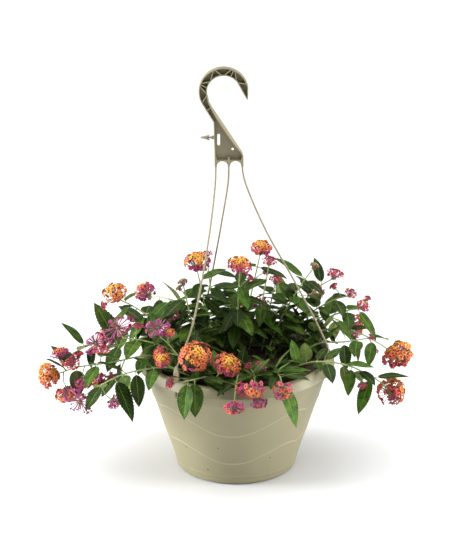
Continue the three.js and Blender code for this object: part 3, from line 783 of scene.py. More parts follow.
def make_hook():
    half = HOOK_DEPTH / 2
    edge = hook_outline([(17.5, 586.5), (17.0, 584.6), (16.4, 583.7), (15.5, 584.2),
                         (14.6, 585.6)])
    hook = prism("hook", edge, -half, half, front_outline=inset(edge, draft))
    floor = inset(hook_outline([(16.6, 583.5)]), lambda point: draft(point) + POCKET_WALL)
    shape(hook, "DIFFERENCE", [(x, max(z, POCKET_FLOOR)) for x, z in floor],
          -half - 10, half - POCKET_BACK)
    ribs = [bar(arc(HOOK_CENTRE, HOOK_OUTER - RIB_INSET, outer, outer, 1)[0],
                arc(HOOK_CENTRE, HOOK_INNER + RIB_INSET, inner, inner, 1)[0], RIB_WIDTH)
            for outer, inner in HOOK_RIBS]
    rib_half = half - 0.3
    for rib in (*ribs, bar(*SHANK_RIB)):
        shape(hook, "UNION", rib, -rib_half, rib_half)
    for x, radius in ARCHES:
        centre = (x, FOLD_HEIGHT)
        shape(hook, "DIFFERENCE", arc(centre, radius, 0, 360, 48)[:-1], -THROUGH, THROUGH)
        edge = [*arc(centre, radius - 0.01, 4, 176, 40), *arc(centre, radius + 1.1, 176, 4, 40)]
        shape(hook, "UNION", edge, -half * 0.8, half)
    for x in STRAND_ROOTS.values():
        foot = [(x - 1.7, FOLD_HEIGHT - 2), (x + 1.7, FOLD_HEIGHT - 2),
                (x + 1.6, FOLD_HEIGHT + 14), (x - 1.6, FOLD_HEIGHT + 14)]
        shape(hook, "UNION", foot, -half * 0.96, half)
    shape(hook, "UNION", BARB, -1.3, 4.5)
    slot = [p for centre, start, end in TAG_SLOT
            for p in arc(centre, TAG_SLOT_RADIUS, start, end, 12)]
    eye = arc((-5.6, 507), 2.0, 0, 360, 24)[:-1]
    for hole in (slot, eye):
        shape(hook, "DIFFERENCE", hole, -THROUGH, THROUGH)
    # drawn in at the foot, where the plate runs into the strands
    envelope = [(half, 640), (half, FOLD_HEIGHT + 13),
                *arc((0, FOLD_HEIGHT), FOOT_RADIUS, 340, 200, 12),
                (-half, FOLD_HEIGHT + 13), (-half, 640)]
    shape(hook, "INTERSECT", envelope, -90, 60, "X")
    bevel(hook, 0.28)
    finish_plastic(hook, "hook", "hook_plate")


def finish_plastic(piece, body, node):
    """Hands over a piece of the hanger. One without a body is left unattached."""
    piece.data.materials.clear()
    piece.data.materials.append(HANGER_PLASTIC)
    if body:
        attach(piece, body)
    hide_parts(node)


STRAND_BOWS = {
    "left": [(-31.6, -6, 455), (-41.4, -36, 378), (-66, -86, 258)],
    "back": [(-12.2, 8, 455), (-22.6, 44, 378), (-41, 100, 258)],
    "right": [(13, -2, 458), (44, -8, 384), (84, -15, 312), (119, -20, 246)]}
PADDLE_TOP = 197
PADDLE_HALF = 1.2           # half its thickness
PADDLE_RIBS = (-3.9, -1.3, 1.3, 3.9)
CLIP_SEAT = POT_HEIGHT + 0.4


def clip_point(name, height):
    angle = math.radians(CLIP_ANGLES[name])
    return (CLIP_RADIUS * math.cos(angle), CLIP_RADIUS * math.sin(angle), height)


def make_clip(name):
    """The ribbed paddle on the ledge and its two prongs below."""
    side = [(1.3, CLIP_SEAT - 1), (1.3, 154), (1.7, 152), (2.4, 152), (2.8, 154),
            (2.8, CLIP_SEAT), (5.3, CLIP_SEAT), (5.3, 190), (4.6, PADDLE_TOP - 2),
            (1.5, PADDLE_TOP + 7)]
    outline = [*side, *[(-x, z) for x, z in reversed(side)]]
    paddle = prism("clip", outline, -PADDLE_HALF, PADDLE_HALF)
    for x in PADDLE_RIBS:
        top = PADDLE_TOP - 2 - abs(x)
        rib = [(x - 0.45, CLIP_SEAT + 1), (x + 0.45, CLIP_SEAT + 1), (x + 0.45, top),
               (x - 0.45, top)]
        shape(paddle, "UNION", rib, -PADDLE_HALF - 0.7, PADDLE_HALF + 0.7)
    bevel(paddle, 0.3)
    turn = Matrix.Rotation(math.radians(CLIP_ANGLES[name]), 4, "Z")
    paddle.data.transform(turn @ Matrix.Translation((CLIP_RADIUS * MM, 0, 0))
                          @ Matrix.Rotation(math.pi / 2, 4, "Z"))
    return paddle


def make_strand(name):
    """A rod that leaves the hook plate, bows down to the rim and ends in its clip."""
    root = (STRAND_ROOTS[name], 0, FOLD_HEIGHT + 5)
    points = [root, (STRAND_ROOTS[name], 0, FOLD_HEIGHT - 4), *STRAND_BOWS[name],
              clip_point(name, PADDLE_TOP + 3)]
    places = np.linspace(0, 1, 90)
    flares = 0.25 * np.exp(-((1 - places) * 14) ** 2)
    widths = [((1.55 + flare) * MM, (1.5 + flare) * MM) for flare in flares]
    vertices, faces, _ = sweep(Route(np.array(points) * MM), places, widths, 14, 0.5)
    rod = mesh_object("strand_" + name + "_piece", vertices, faces, [HANGER_PLASTIC])
    combine(rod, make_clip(name), "UNION")
    rod.data.polygons.foreach_set("use_smooth", np.ones(len(rod.data.polygons), bool))
    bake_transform(rod)
    finish_plastic(rod, None, "strand_" + name)


make_hook()
for strand_name in CLIP_ANGLES:
    make_strand(strand_name)

# ---------------------------------------------------------------- lantana: where it grows

# Each shoot: name, pairs of leaves, way points from the soil to the tip, then its flower head:
# kind, radius and the way the head faces. Millimetres; the first way point is on the soil.
SHOOTS = [
    ("left_top", 4, [(-58, -34), (-105, -34, 226), (-148, -26, 262), (-180, -21, 278)],
     "orange", 20, (-0.3, -0.4, 0.85)),
    ("left_spider", 3, [(-60, -50), (-108, -64, 216), (-146, -70, 230), (-170, -70, 233)],
     "spider", 26, (-0.5, 0.55, 0.65)),
    ("left_near", 2, [(-52, -60), (-82, -88, 206), (-104, -98, 238), (-112, -101, 246)],
     "spider", 22, (-0.3, 0.3, 0.9)),
    ("left_far", 4, [(-68, -46), (-125, -64, 202), (-190, -72, 194), (-240, -66, 184),
       (-268, -58, 171)], "orange", 25, (-0.9, -0.2, -0.3)),
    ("left_low", 3, [(-62, -66), (-104, -100, 198), (-165, -110, 192), (-205, -106, 170),
       (-227, -102, 154)], "magenta", 26, (-0.5, 0.35, -0.75)),
    ("left_mid", 3, [(-68, -28), (-118, -36, 222), (-166, -30, 210), (-204, -34, 198)],
     "spider", 22, (-0.6, 0.1, 0.6)),
    ("left_back", 3, [(-62, -18), (-120, -12, 212), (-190, -8, 208), (-240, -14, 192),
       (-254, -17, 184)], "pink", 18, (-0.8, -0.2, -0.4)),
    ("left_drop", 2, [(-70, -8), (-124, 2, 196), (-162, -4, 186), (-180, -14, 150),
       (-182, -18, 118)], "magenta", 14, (0, 0, -1)),
    ("left_upright", 3, [(-44, -22), (-66, -12, 230), (-81, -2, 294)], "bud", 8, (-0.2, 0, 1)),
    ("front_left_big", 3, [(-40, -60), (-54, -89, 194), (-62, -114, 214)],
     "golden", 26, (0.1, -0.7, 0.7)),
    ("front_left_small", 2, [(-62, -80), (-90, -102, 194), (-108, -112, 212)],
     "golden", 15, (-0.3, -0.5, 0.8)),
    ("front_left_drape", 2, [(-36, -78), (-48, -120, 190), (-72, -152, 198), (-94, -158, 196)],
     "bud", 9, (-0.7, -0.5, 0.4)),
    ("front_orange", 2, [(-16, -82), (-30, -116, 188), (-19, -125, 205)],
     "orange", 21, (0.35, -0.55, 0.75)),
    ("front_drape", 2, [(24, -56), (26, -108, 192), (27, -153, 196)],
     "pink", 19, (0, -0.75, -0.5)),
    ("front_drop", 2, [(6, -66), (2, -120, 192), (-1, -158, 190), (-3, -170, 172)],
     "magenta", 17, (0, -0.35, -0.9)),
    ("front_right_drape", 2, [(48, -46), (60, -104, 192), (66, -146, 196), (67, -159, 191)],
     "pink", 18, (0.1, -0.9, -0.3)),
    ("right_low", 4, [(80, -46), (118, -60, 190), (165, -66, 188), (208, -63, 166),
       (227, -61, 151)], "orange", 26, (0.55, 0.4, -0.75)),
    ("right_high", 3, [(86, 10), (130, 22, 208), (182, 10, 212), (220, -10, 200), (233, -17, 193)],
     "orange", 28, (0.7, 0.1, -0.55)),
    ("right_spray_low", 3, [(76, 22), (126, 36, 216), (172, 32, 238), (194, 24, 245)],
     "golden", 12, (0.4, -0.2, 0.8)),
    ("right_spray_mid", 3, [(64, 26), (108, 46, 222), (154, 50, 250), (176, 44, 258)],
     "pink", 11, (0.3, -0.2, 0.9)),
    ("right_spray_high", 4, [(54, 22), (88, 52, 224), (128, 66, 264), (152, 64, 280)],
     "pink", 14, (0.2, 0, 1)),
    ("right_upright", 4, [(46, 10), (70, 30, 226), (100, 42, 276), (120, 50, 302)],
     "bud", 8, (0.3, 0, 1)),
    ("pink_back", 3, [(40, 26), (50, 46, 226), (61, 54, 276)], "pink", 11, (0, 0, 1)),
    ("right_bud", 3, [(92, 2), (126, 4, 194), (166, -8, 202), (204, -22, 214)],
     "bud", 6, (0.8, 0, 0.5)),
    ("top_left", 4, [(-28, 38), (-46, 32, 240), (-60, 22, 308)], "orange", 22, (0, -0.2, 1)),
    ("top_centre", 4, [(-4, 26), (2, 4, 246), (5, -18, 318)], "orange", 20, (0, -0.2, 1)),
    ("top_right", 4, [(8, 44), (22, 40, 256), (37, 34, 331)], "orange", 18, (0.1, -0.1, 1)),
    ("top_pink", 3, [(20, 34), (38, 18, 250), (50, 0, 326)], "pink", 12, (0.1, -0.2, 1)),
    ("magenta_mid", 2, [(26, 50), (33, 54, 206), (38, 46, 238)], "magenta", 16, (0, -0.3, 1)),
    ("top_back", 3, [(-20, 56), (-38, 66, 250), (-46, 66, 314)], "pink", 10, (0, 0, 1)),
    ("back_left", 4, [(-40, 62), (-80, 104, 212), (-118, 134, 222), (-138, 150, 216)],
     "orange", 20, (-0.6, 0.6, 0.4)),
    ("back_right", 4, [(32, 74), (70, 112, 212), (102, 140, 222), (118, 156, 216)],
     "magenta", 20, (0.6, 0.6, 0.4)),
    ("back_mid", 3, [(2, 80), (8, 128, 204), (6, 162, 198), (4, 178, 180)],
     "orange", 20, (0, 0.8, -0.4)),
    ("back_left_low", 3, [(-62, 36), (-118, 56, 204), (-166, 70, 196), (-192, 76, 180)],
     "golden", 20, (-0.8, 0.3, -0.3)),
    ("back_right_low", 3, [(58, 52), (114, 78, 204), (156, 96, 200), (178, 104, 186)],
     "orange", 20, (0.8, 0.4, -0.3)),
]

# Large leaves that hang or stand in a set direction: shoot, place along it, direction, length
# and how light the leaf is.
SET_LEAVES = [
    ("front_left_drape", 0.66, (0.02, -0.25, -1), 58, 1.0),
    ("front_left_drape", 0.42, (0.6, -0.75, -0.1), 48, 0.6),
    ("front_right_drape", 0.93, (0.5, -0.5, -1), 68, 1.9),
    ("right_high", 0.8, (0.6, 0.75, -0.2), 56, 0.7),
    ("left_mid", 0.85, (-0.4, 0.35, 0.85), 74, 1.0),
    ("left_back", 0.88, (-0.6, 0.25, 0.75), 52, 0.9),
    ("left_low", 0.72, (0.55, -0.5, -0.9), 70, 0.45),
    ("left_low", 0.55, (0.15, -0.4, -1), 54, 0.5),
    ("left_far", 0.94, (-0.5, -0.3, 0.6), 42, 0.6),
    ("right_spray_low", 0.95, (0.6, -0.45, -0.7), 58, 1.1),
    ("right_low", 0.84, (-0.45, -0.5, -0.8), 60, 1.7),
    ("right_low", 0.62, (-0.15, -0.5, -0.75), 44, 1.4),
    ("right_bud", 0.66, (0.1, -0.4, -0.9), 44, 0.45),
    ("left_top", 0.93, (0.35, -0.4, 0.6), 36, 1.2),
    ("left_top", 0.86, (-0.75, -0.2, -0.55), 44, 1.3),
]

STEM_RADIUS = 1.6
LEAF_ROOT = 0.5
LEAF_WIDTH = 0.46
LEAF_DROOP = 0.16
LOOSE_HEAD_RADIUS = 18      # heads larger than this are pieces of their own
LOOSE_HEAD_GAP = 1.95       # from the tip of the stem
SMALL_HEAD_OVERLAP = 1.5
HEAD_HEIGHT = 0.62          # half the height of a flower head, of its radius
STRAND_ROOM = 9             # clear space beside the strands as they lift
STRAND_SAG = 34             # how far they may hang below a straight line
CLIP_REACH = 6              # how far a clip stands out beyond its strand
POT_ROOM = 3
HEAD_ROOM = 3
UP = np.array([0.0, 0.0, 1.0])


class Leaf:
    """A leaf's place: its base, the way it points, which way is up, and its length."""

    def __init__(self, base, way, length, tone=None):
        self.base, self.along, self.length, self.tone = base, way, length, tone
        up = UP - way * way[2]
        if np.linalg.norm(up) < 0.2:
            outwards = np.array([base[0], base[1], 0])
            up = outwards - way * np.dot(way, outwards)
        self.up = unit(up)
        self.across = np.cross(self.up, way)

    def point(self, s, t):
        half = 0.5 * LEAF_WIDTH * self.length * math.sin(math.pi * min(1, 0.12 + 0.88 * s))
        return (self.base + self.along * s * self.length + self.across * t * half
                - self.up * LEAF_DROOP * s * s * self.length)

    def samples(self):
        return np.array([self.point(s, t) for s in (0.25, 0.4, 0.55, 0.7, 0.85, 1)
                         for t in (-0.9, 0, 0.9)])


class Shoot:
    """A stem with the place of its flower head. Its leaves are added as they find room."""

    def __init__(self, name, pairs, route, kind, radius, facing):
        self.name, self.pairs, self.kind, self.radius = name, pairs, kind, radius
        soil = SOIL_CROWN + 0.35 + STEM_RADIUS
        points = [(*p, soil) if len(p) == 2 else p for p in route]
        self.route = Route(points)
        self.axis = unit(facing)
        self.half = HEAD_HEIGHT * radius
        self.loose = radius > LOOSE_HEAD_RADIUS
        self.tip = np.array(points[-1], float)
        beyond = LOOSE_HEAD_GAP if self.loose else -SMALL_HEAD_OVERLAP
        self.centre = self.tip + self.axis * (self.half + beyond)
        self.samples = self.route.at(np.linspace(0, 1, math.ceil(self.route.length / 5) + 1))
        self.leaves = []

    def leaf(self, place, way, length, tone=None):
        way = unit(way)
        return Leaf(self.route.at(place) + way * LEAF_ROOT, way, length, tone)


shoots = [Shoot(*row) for row in SHOOTS]


def near_strand(points):
    """True where a point is near the upright sheet that a strand sweeps as the hanger lifts."""
    close = np.zeros(len(points), bool)
    for name in CLIP_ANGLES:
        root = np.array([STRAND_ROOTS[name], 0.0])
        run = np.array(clip_point(name, 0)[:2]) - root
        reach = np.linalg.norm(run)
        run /= reach
        offset = points[:, :2] - root
        along = offset @ run
        aside = np.abs(offset[:, 0] * run[1] - offset[:, 1] * run[0])
        lowest = FOLD_HEIGHT + (POT_HEIGHT - FOLD_HEIGHT) * along / reach - STRAND_SAG
        close |= ((along > -STRAND_ROOM) & (along < reach + STRAND_ROOM + CLIP_REACH)
                  & (aside < STRAND_ROOM) & (points[:, 2] > lowest))
    return close


def in_pot(points):
    r, z = np.hypot(points[:, 0], points[:, 1]), points[:, 2]
    walls = (r > NECK_RADIUS - WALL - POT_ROOM) | (z < SOIL_CROWN + POT_ROOM)
    return (z < POT_HEIGHT + POT_ROOM) & (r < RIM_RADIUS + POT_ROOM) & walls


def gap(points, others):
    """The least distance from any of the points to any of the others."""
    return np.sqrt(((points[:, None] - others[None]) ** 2).sum(-1).min())


def has_room(leaf, owner, leaf_room, stem_room):
    """The leaf's sample points if they are clear of everything in place, or None."""
    samples = leaf.samples()
    if in_pot(samples).any() or near_strand(samples).any():
        return None
    for shoot in shoots:
        if gap(samples, shoot.centre[None]) < shoot.radius + HEAD_ROOM:
            return None
        if gap(samples, shoot.samples) < (min(4, stem_room) if shoot is owner else stem_room):
            return None
    placed = [other for shoot in shoots for other, _ in shoot.leaves]
    if placed and gap(samples, np.vstack(placed)) < leaf_room:
        return None
    return samples


# Turns, in degrees, and shares of its length that a leaf tries until it has room.
TRIALS = [(0, 1), (25, 1), (-25, 1), (50, 0.9), (-50, 0.9), (75, 0.8), (10, 0.7)]


def grow(places, seed_base, shortest, spread, leaf_room, stem_room, droop):
    """Opposite pairs of leaves along each shoot, each pair a quarter turn from the last."""
    for number, shoot in enumerate(shoots):
        for pair, place in enumerate(places(shoot)):
            tangent = shoot.route.tangent(place)
            level = unit(np.cross(tangent, (0.02, 0.01, 1)))
            rising = unit(np.cross(level, tangent))
            for side in (-1, 1):
                seed = seed_base + number * 31 + pair * 7 + side
                for turn, scale in TRIALS:
                    angle = math.radians(turn + pair * 90 + 40 * (chance(seed) - 0.5))
                    way = (level * side * math.cos(angle)
                           + rising * side * math.sin(angle) * 0.8 + tangent * 0.35
                           - UP * (0.12 + droop * chance(seed + 0.9)))
                    length = (shortest + spread * chance(seed + 0.5)) * scale
                    leaf = shoot.leaf(place, way, length)
                    samples = has_room(leaf, shoot, leaf_room, stem_room)
                    if samples is not None:
                        shoot.leaves.append((samples, leaf))
                        break


FILLED_RADIUS = 142
FILLED_HEIGHT = 266


def main_places(shoot):
    return [0.3 + 0.64 * (pair + 0.5) / shoot.pairs for pair in range(shoot.pairs)]


def filler_places(shoot):
    """Closely set places, out to the rim, which keep the middle of the plant dense."""
    places = [0.1 + 0.84 * k / 9 for k in range(10)]
    spots = [shoot.route.at(p) for p in places]
    return [p for p, spot in zip(places, spots)
            if np.hypot(*spot[:2]) < FILLED_RADIUS and spot[2] < FILLED_HEIGHT]


for row_name, *row in SET_LEAVES:
    row_shoot = next(s for s in shoots if s.name == row_name)
    row_leaf = row_shoot.leaf(*row)
    row_shoot.leaves.append((row_leaf.samples(), row_leaf))

grow(main_places, 0, shortest=42, spread=18, leaf_room=6, stem_room=5.5, droop=0.5)
grow(filler_places, 5000, shortest=36, spread=20, leaf_room=3.6, stem_room=3.2, droop=0.8)
grow(filler_places, 9000, shortest=28, spread=18, leaf_room=2.8, stem_room=2.6, droop=0.9)

# ---------------------------------------------------------------- lantana: leaves

TEETH = 13
VEINS = 6.5
# Relief of a blade, as shares of its length.
QUILT, RIPPLE, GROOVE = 0.011, 0.010, 0.006
LEAF_COLUMNS = np.array([-1, -0.8, -0.5, -0.2, -0.04, 0.04, 0.2, 0.5, 0.8, 1])
PETIOLE = 0.1               # of the leaf's length
# Materials of a shoot by index. The first two are a leaf's upper and lower faces.
STEM_INDEX = 2
PETAL_INDEX = 3


def leaf_rows():
    """Places along the blade, two for each tooth, with how far the edge stands out there."""
    rows = [(0.0, 1.0)]
    for k in range(TEETH):
        rows.append(((k + 0.72) / TEETH, 1.05))
        rows.append(((k + 0.98) / TEETH, 0.93))
    rows[-1] = (0.995, 0.6)
    return rows


LEAF_ROWS = leaf_rows()


def blade_width(s):
    """Half width of an ovate blade, as a share of its greatest."""
    return (s ** 0.62) * (1 - s) ** 0.95 / 0.4625


def leaf_mesh(leaf, seed):
    """A closed thin blade: serrated, folded along the midrib and quilted between its veins."""
    fold = 0.10 + 0.16 * chance(seed)
    curl = 0.10 + 0.22 * chance(seed + 1.7)
    twist = 0.5 * (chance(seed + 3.1) - 0.5)
    wave = 2 * math.pi * chance(seed + 4.9)
    length = leaf.length
    half = 0.5 * (0.52 + 0.1 * chance(seed + 6.3)) * length
    s, edge = np.array(LEAF_ROWS).T
    s_grid, t_grid = np.meshgrid(s, LEAF_COLUMNS, indexing="ij")
    outer = np.abs(t_grid) ** 3
    width = half * np.maximum(blade_width(s_grid), 0.035) * (1 + (edge[:, None] - 1) * outer)
    across = t_grid * width
    forward = PETIOLE + (1 - PETIOLE) * s_grid
    veins = np.cos(2 * math.pi * (VEINS * s_grid - 1.1 * np.abs(t_grid)))
    quilt = (QUILT * length * veins * np.abs(t_grid) ** 0.6 * (1 - outer)
             * np.sin(math.pi * s_grid))
    rise = (np.abs(across) * fold - 0.5 * curl * across * across / half
            + RIPPLE * length * np.sin(9 * s_grid + wave) * outer
            - GROOVE * length * np.exp(-(t_grid / 0.08) ** 2))
    sink = LEAF_DROOP * forward * forward * length
    lean = twist * s_grid
    sides = across * np.cos(lean) - rise * np.sin(lean)
    lift = across * np.sin(lean) + rise * np.cos(lean) + quilt
    top = (leaf.base + leaf.along * (forward * length)[..., None]
           + leaf.across * sides[..., None] + leaf.up * (lift - sink)[..., None])
    thick = 0.22 + 0.5 * np.exp(-(t_grid / 0.07) ** 2) * (1 - 0.8 * s_grid)
    under = top - leaf.up * thick[..., None]
    vertices = np.vstack([top.reshape(-1, 3), under.reshape(-1, 3)])
    uv = np.stack([s_grid, 0.5 + 0.5 * t_grid], -1).reshape(-1, 2)
    return vertices * MM, np.vstack([uv, uv])


def leaf_faces():
    rows, columns = len(LEAF_ROWS), len(LEAF_COLUMNS)
    total = rows * columns
    top = grid_faces(rows, columns, False)
    # turned over but still starting at the same corner, so that both sides split alike
    under = [tuple(total + face[i] for i in (0, 3, 2, 1)) for face in top]
    rim = [(i * columns, (i + 1) * columns) for i in range(rows - 1)]
    rim += [((rows - 1) * columns + j, (rows - 1) * columns + j + 1) for j in range(columns - 1)]
    rim += [((i + 1) * columns - 1, i * columns - 1) for i in range(rows - 1, 0, -1)]
    rim += [(j + 1, j) for j in range(columns - 2, -1, -1)]
    sides = [(a + total, b + total, b, a) for a, b in rim]
    flip = [tuple(reversed(face)) for face in [*top, *under, *sides]]
    return flip, [0] * len(top) + [1] * (len(under) + len(sides))


LEAF_FACES, LEAF_FACE_SIDES = leaf_faces()


def add_stalk(heap, points, places, widths, sides, **look):
    """A thin stalk through way points."""
    vertices, faces, _ = sweep(Route(points), places, widths, sides)
    heap.add(vertices * MM, faces, **look)


def add_leaf(heap, leaf, seed):
    vertices, uv = leaf_mesh(leaf, seed)
    tone = leaf.tone or 0.38 + 1.12 * chance(seed + 8.2) ** 1.6
    warmth = 0.88 + 0.3 * chance(seed + 9.4)
    heap.add(vertices, LEAF_FACES, uv, (tone * warmth, tone, tone * 0.9), LEAF_FACE_SIDES)
    points = [leaf.base + leaf.along * start - leaf.up * drop
              for start, drop in ((-LEAF_ROOT, 0), (leaf.length * PETIOLE * 0.5, 0.2),
                                  (leaf.length * (PETIOLE + 0.06), 0.45))]
    add_stalk(heap, points, [0, 0.25, 0.6, 1], [0.85, 0.7, 0.6, 0.35], 6, uv=0.8,
              material=STEM_INDEX)


# ---------------------------------------------------------------- lantana: flowers


def tint(*colour):
    return np.array(linear(colour))


YELLOW = tint(248, 178, 50)
AMBER = tint(240, 142, 46)
ORANGE = tint(232, 112, 48)
CORAL = tint(212, 74, 56)
CRIMSON = tint(178, 34, 52)
MAGENTA = tint(186, 48, 122)
PURPLE = tint(160, 46, 116)
MAROON = tint(84, 18, 36)
OLIVE = tint(122, 112, 58)
TUBE_PINK = tint(222, 128, 168)
CALYX_GREEN = tint(112, 132, 50)

# Colours of the florets from the middle of a head to its edge, the share of the middle that is
# still in bud, how many florets there are for a full head, and how far round the head they go.
DOMES = {
    "orange": ([YELLOW, AMBER, ORANGE, CORAL, CRIMSON, MAGENTA], 0.0, 1.35, 112),
    "amber": ([YELLOW, AMBER, ORANGE, AMBER, ORANGE, CORAL], 0.0, 1.25, 122),
    "golden": ([YELLOW, AMBER, ORANGE, ORANGE, CORAL, MAGENTA], 0.0, 1.4, 116),
    "pink": ([MAROON, CRIMSON, CORAL, CORAL], 0.65, 1.0, 100),
    "magenta": ([ORANGE, CRIMSON, MAGENTA, PURPLE], 0.2, 0.75, 108),
    "loose": ([AMBER, CORAL, MAGENTA, ORANGE, MAGENTA], 0.05, 0.75, 128),
    "bud": ([MAROON, MAROON, CRIMSON, CRIMSON], 1.0, 1.0, 92),
    "tight": ([OLIVE, OLIVE, MAROON], 1.0, 1.0, 92)}
# Older heads that have opened out into a star of long tubes: colours of their florets, the share
# of tubes that end in a bud, and the size of a floret.
STARS = {
    "spider": ([MAGENTA, PURPLE, MAGENTA], 0.32, 3.9),
    "mixed": ([ORANGE, MAGENTA, CORAL, MAGENTA], 0.3, 4.8)}
# Heads whose look differs from others of their kind, and the way some of them open.
STYLES = {"left_low": "spider", "front_drop": "mixed", "front_drape": "loose",
          "front_right_drape": "loose", "right_spray_low": "loose", "right_high": "amber",
          "right_low": "amber", "left_far": "amber", "left_top": "amber",
          "left_upright": "tight", "right_upright": "tight"}
OPENINGS = {"right_high": (0.35, 0.5, 0.6), "right_low": (0.4, 0.55, 0.1),
            "left_spider": (0.1, -0.9, 0.25), "left_near": (-0.15, -0.85, 0.3),
            "left_low": (-0.2, -0.9, 0.1), "left_mid": (-0.3, -0.8, 0.4),
            "front_drop": (0.1, -0.95, -0.1), "left_far": (-0.5, 0.2, 0.7)}
STAR_TUBES = 21
STAR_BUD_SIZE = 1.5
LIMB_SIZES = (2.6, 5.2)     # least and greatest size of an open floret
SMALL_LIMB = 1.6
FALLEN_SHARE = 0.1          # of a head's florets
# Side sprigs with small heads: shoot, place along it, way, length of stalk, style and radius.
SPRIGS = [
    ("left_back", 0.72, (0.1, -0.5, 0.8), 12, "pink", 10),
    ("left_top", 0.80, (-0.4, 0.1, -0.9), 14, "pink", 9),
    ("left_top", 1.00, (-0.9, -0.4, -0.3), 20, "bud", 7),
    ("left_spider", 0.85, (0.1, 0.1, 1), 16, "bud", 9),
    ("left_far", 0.84, (-0.1, 0.3, 0.9), 14, "bud", 9),
    ("left_far", 0.95, (-0.3, 0.2, 0.9), 20, "magenta", 15),
    ("left_far", 0.90, (0.1, -0.5, 0.7), 9, "pink", 13),
    ("left_far", 0.68, (0, 0.1, 1), 13, "pink", 14),
    ("left_far", 0.72, (0.1, -0.4, -0.9), 14, "loose", 16),
    ("left_far", 0.80, (-0.1, -0.3, -0.9), 18, "magenta", 15),
    ("left_far", 0.62, (0.1, -0.2, -1), 16, "bud", 8),
    ("left_far", 0.97, (0.15, -0.1, -1), 26, "amber", 20),
    ("left_low", 0.84, (0.5, 0.1, -0.9), 30, "magenta", 12),
    ("left_near", 0.85, (0.1, 0, 1), 12, "golden", 10),
    ("left_near", 0.60, (-0.8, -0.5, 0.3), 28, "loose", 12),
    ("left_upright", 0.50, (-0.85, -0.1, 0.5), 26, "pink", 11),
    ("left_upright", 0.85, (-0.6, 0, 0.8), 14, "tight", 6),
    ("front_drape", 0.80, (0.5, 0.3, 0.8), 14, "magenta", 10),
    ("front_drape", 0.60, (-0.6, -0.1, 0.9), 12, "bud", 7),
    ("front_drape", 0.95, (-0.75, -0.2, -0.4), 16, "loose", 14),
    ("front_drape", 0.95, (0.2, -0.25, -0.95), 26, "magenta", 14),
    ("right_low", 0.72, (0.1, -0.2, -1), 18, "loose", 9),
    ("right_high", 0.80, (0.2, -0.3, -0.9), 16, "magenta", 11),
    ("right_spray_low", 1.00, (0.5, -0.1, 1), 16, "bud", 6),
    ("right_spray_mid", 0.90, (-0.6, 0, 1), 18, "bud", 7),
    ("top_centre", 0.80, (0.7, -0.1, 0.8), 22, "bud", 7),
    ("top_right", 0.72, (0.8, -0.2, 0.7), 20, "bud", 7),
]
PETAL_TONE = 0.68
GOLDEN_ANGLE = math.pi * (3 - math.sqrt(5))
FLORET_SIDES = 20
# Rows of a floret, from the middle of its mouth out over the lobes and down to its tube: share of
# the lobe's reach, height as a share of the limb, how lobed the row is, and its colour.
FLORET_ROWS = [(0.12, -0.22, 0.0, "eye"), (0.3, -0.02, 0.3, "eye"), (0.5, 0.06, 0.7, "lobe"),
               (0.84, 0.04, 1.0, "edge"), (1.0, -0.10, 1.0, "edge"), (0.86, -0.14, 1.0, "lobe"),
               (0.5, -0.10, 0.8, "lobe"), (0.19, -0.26, 0.0, "tube")]
TUBE_ROWS = [(0.1, 1.25), (0.5, 1.0), (0.97, 0.8)]      # place along the tube, width
BUD_SIDES = 8
# Rows of a bud: reach and height as shares of its size, tone.
BUD_ROWS = [(0.55, 0.62, 1.25), (1.0, 0.2, 1.0), (0.95, -0.3, 0.95), (0.5, -0.8, 0.9)]
KNOB_SIDES = 10
KNOB_ROWS = [(0.55, 1.2), (0.95, 0.6), (1, -0.1), (0.6, -0.8)]
BRACT_COUNT = 8


def frame_about(axis):
    side = unit(np.cross(axis, (0.31, 0.17, 0.93) if abs(axis[2]) < 0.9 else (1, 0.2, 0.1)))
    return side, np.cross(axis, side)


def spokes(frame, angles):
    """Directions at one or more angles about the axis of a frame."""
    side, other = frame
    return np.multiply.outer(np.cos(angles), side) + np.multiply.outer(np.sin(angles), other)


def add_loft(heap, first, rings, last, tints):
    """A closed shape: a point, the rings after it and a last point, each with its own tint."""
    sides = len(rings[0])
    vertices = np.vstack([[first], *rings, [last]])
    colours = np.vstack([[tints[0]], np.repeat(tints[1:-1], sides, axis=0), [tints[-1]]])
    heap.add(vertices * MM, loft_faces(len(rings), sides), colour=colours)


def add_floret(heap, foot, spot, facing, limb, colour, seed, tube=0.5):
    """An open floret: five rounded lobes on a slim tube that comes from foot."""
    angles = even_angles(FLORET_SIDES)
    lobes = np.abs(np.cos(2.5 * angles)) ** 0.6
    uneven = 1 + 0.16 * np.cos(angles - 1.0) + 0.06 * np.cos(2 * angles + seed)
    lean = 0.5 * (chance(seed + 2.2) - 0.5)
    ruffle = 0.14 * np.sin(5 * angles + 6 * chance(seed + 1.1)) + lean * np.cos(angles)
    ring_way = spokes(frame_about(facing), angles + 2 * math.pi * chance(seed))
    pipe = TUBE_PINK * 0.7 + colour * 0.3
    parts = {"eye": colour * (0.72, 0.24, 0.42), "lobe": colour, "tube": pipe,
             "edge": np.minimum(1, colour * (1.08, 1.25, 1.2))}
    rings, tints = [], [parts["eye"] * 0.5]
    for reach, height, lobed, part in FLORET_ROWS:
        radius = limb * reach * uneven * (1 - lobed * 0.32 * (1 - lobes))
        rise = limb * (height + ruffle * reach * reach)
        rings.append(spot + ring_way * radius[:, None] + facing * rise[:, None])
        tints.append(parts[part] * PETAL_TONE)
    neck = spot - facing * limb * 0.3
    for u, swell in TUBE_ROWS:
        bend = neck * (1 - u) + foot * u - facing * limb * 0.5 * u * (1 - u)
        rings.append(bend + ring_way * tube * swell)
        tints.append(pipe * PETAL_TONE * (1 - 0.25 * u))
    add_loft(heap, neck, rings, foot, [*tints, CALYX_GREEN])


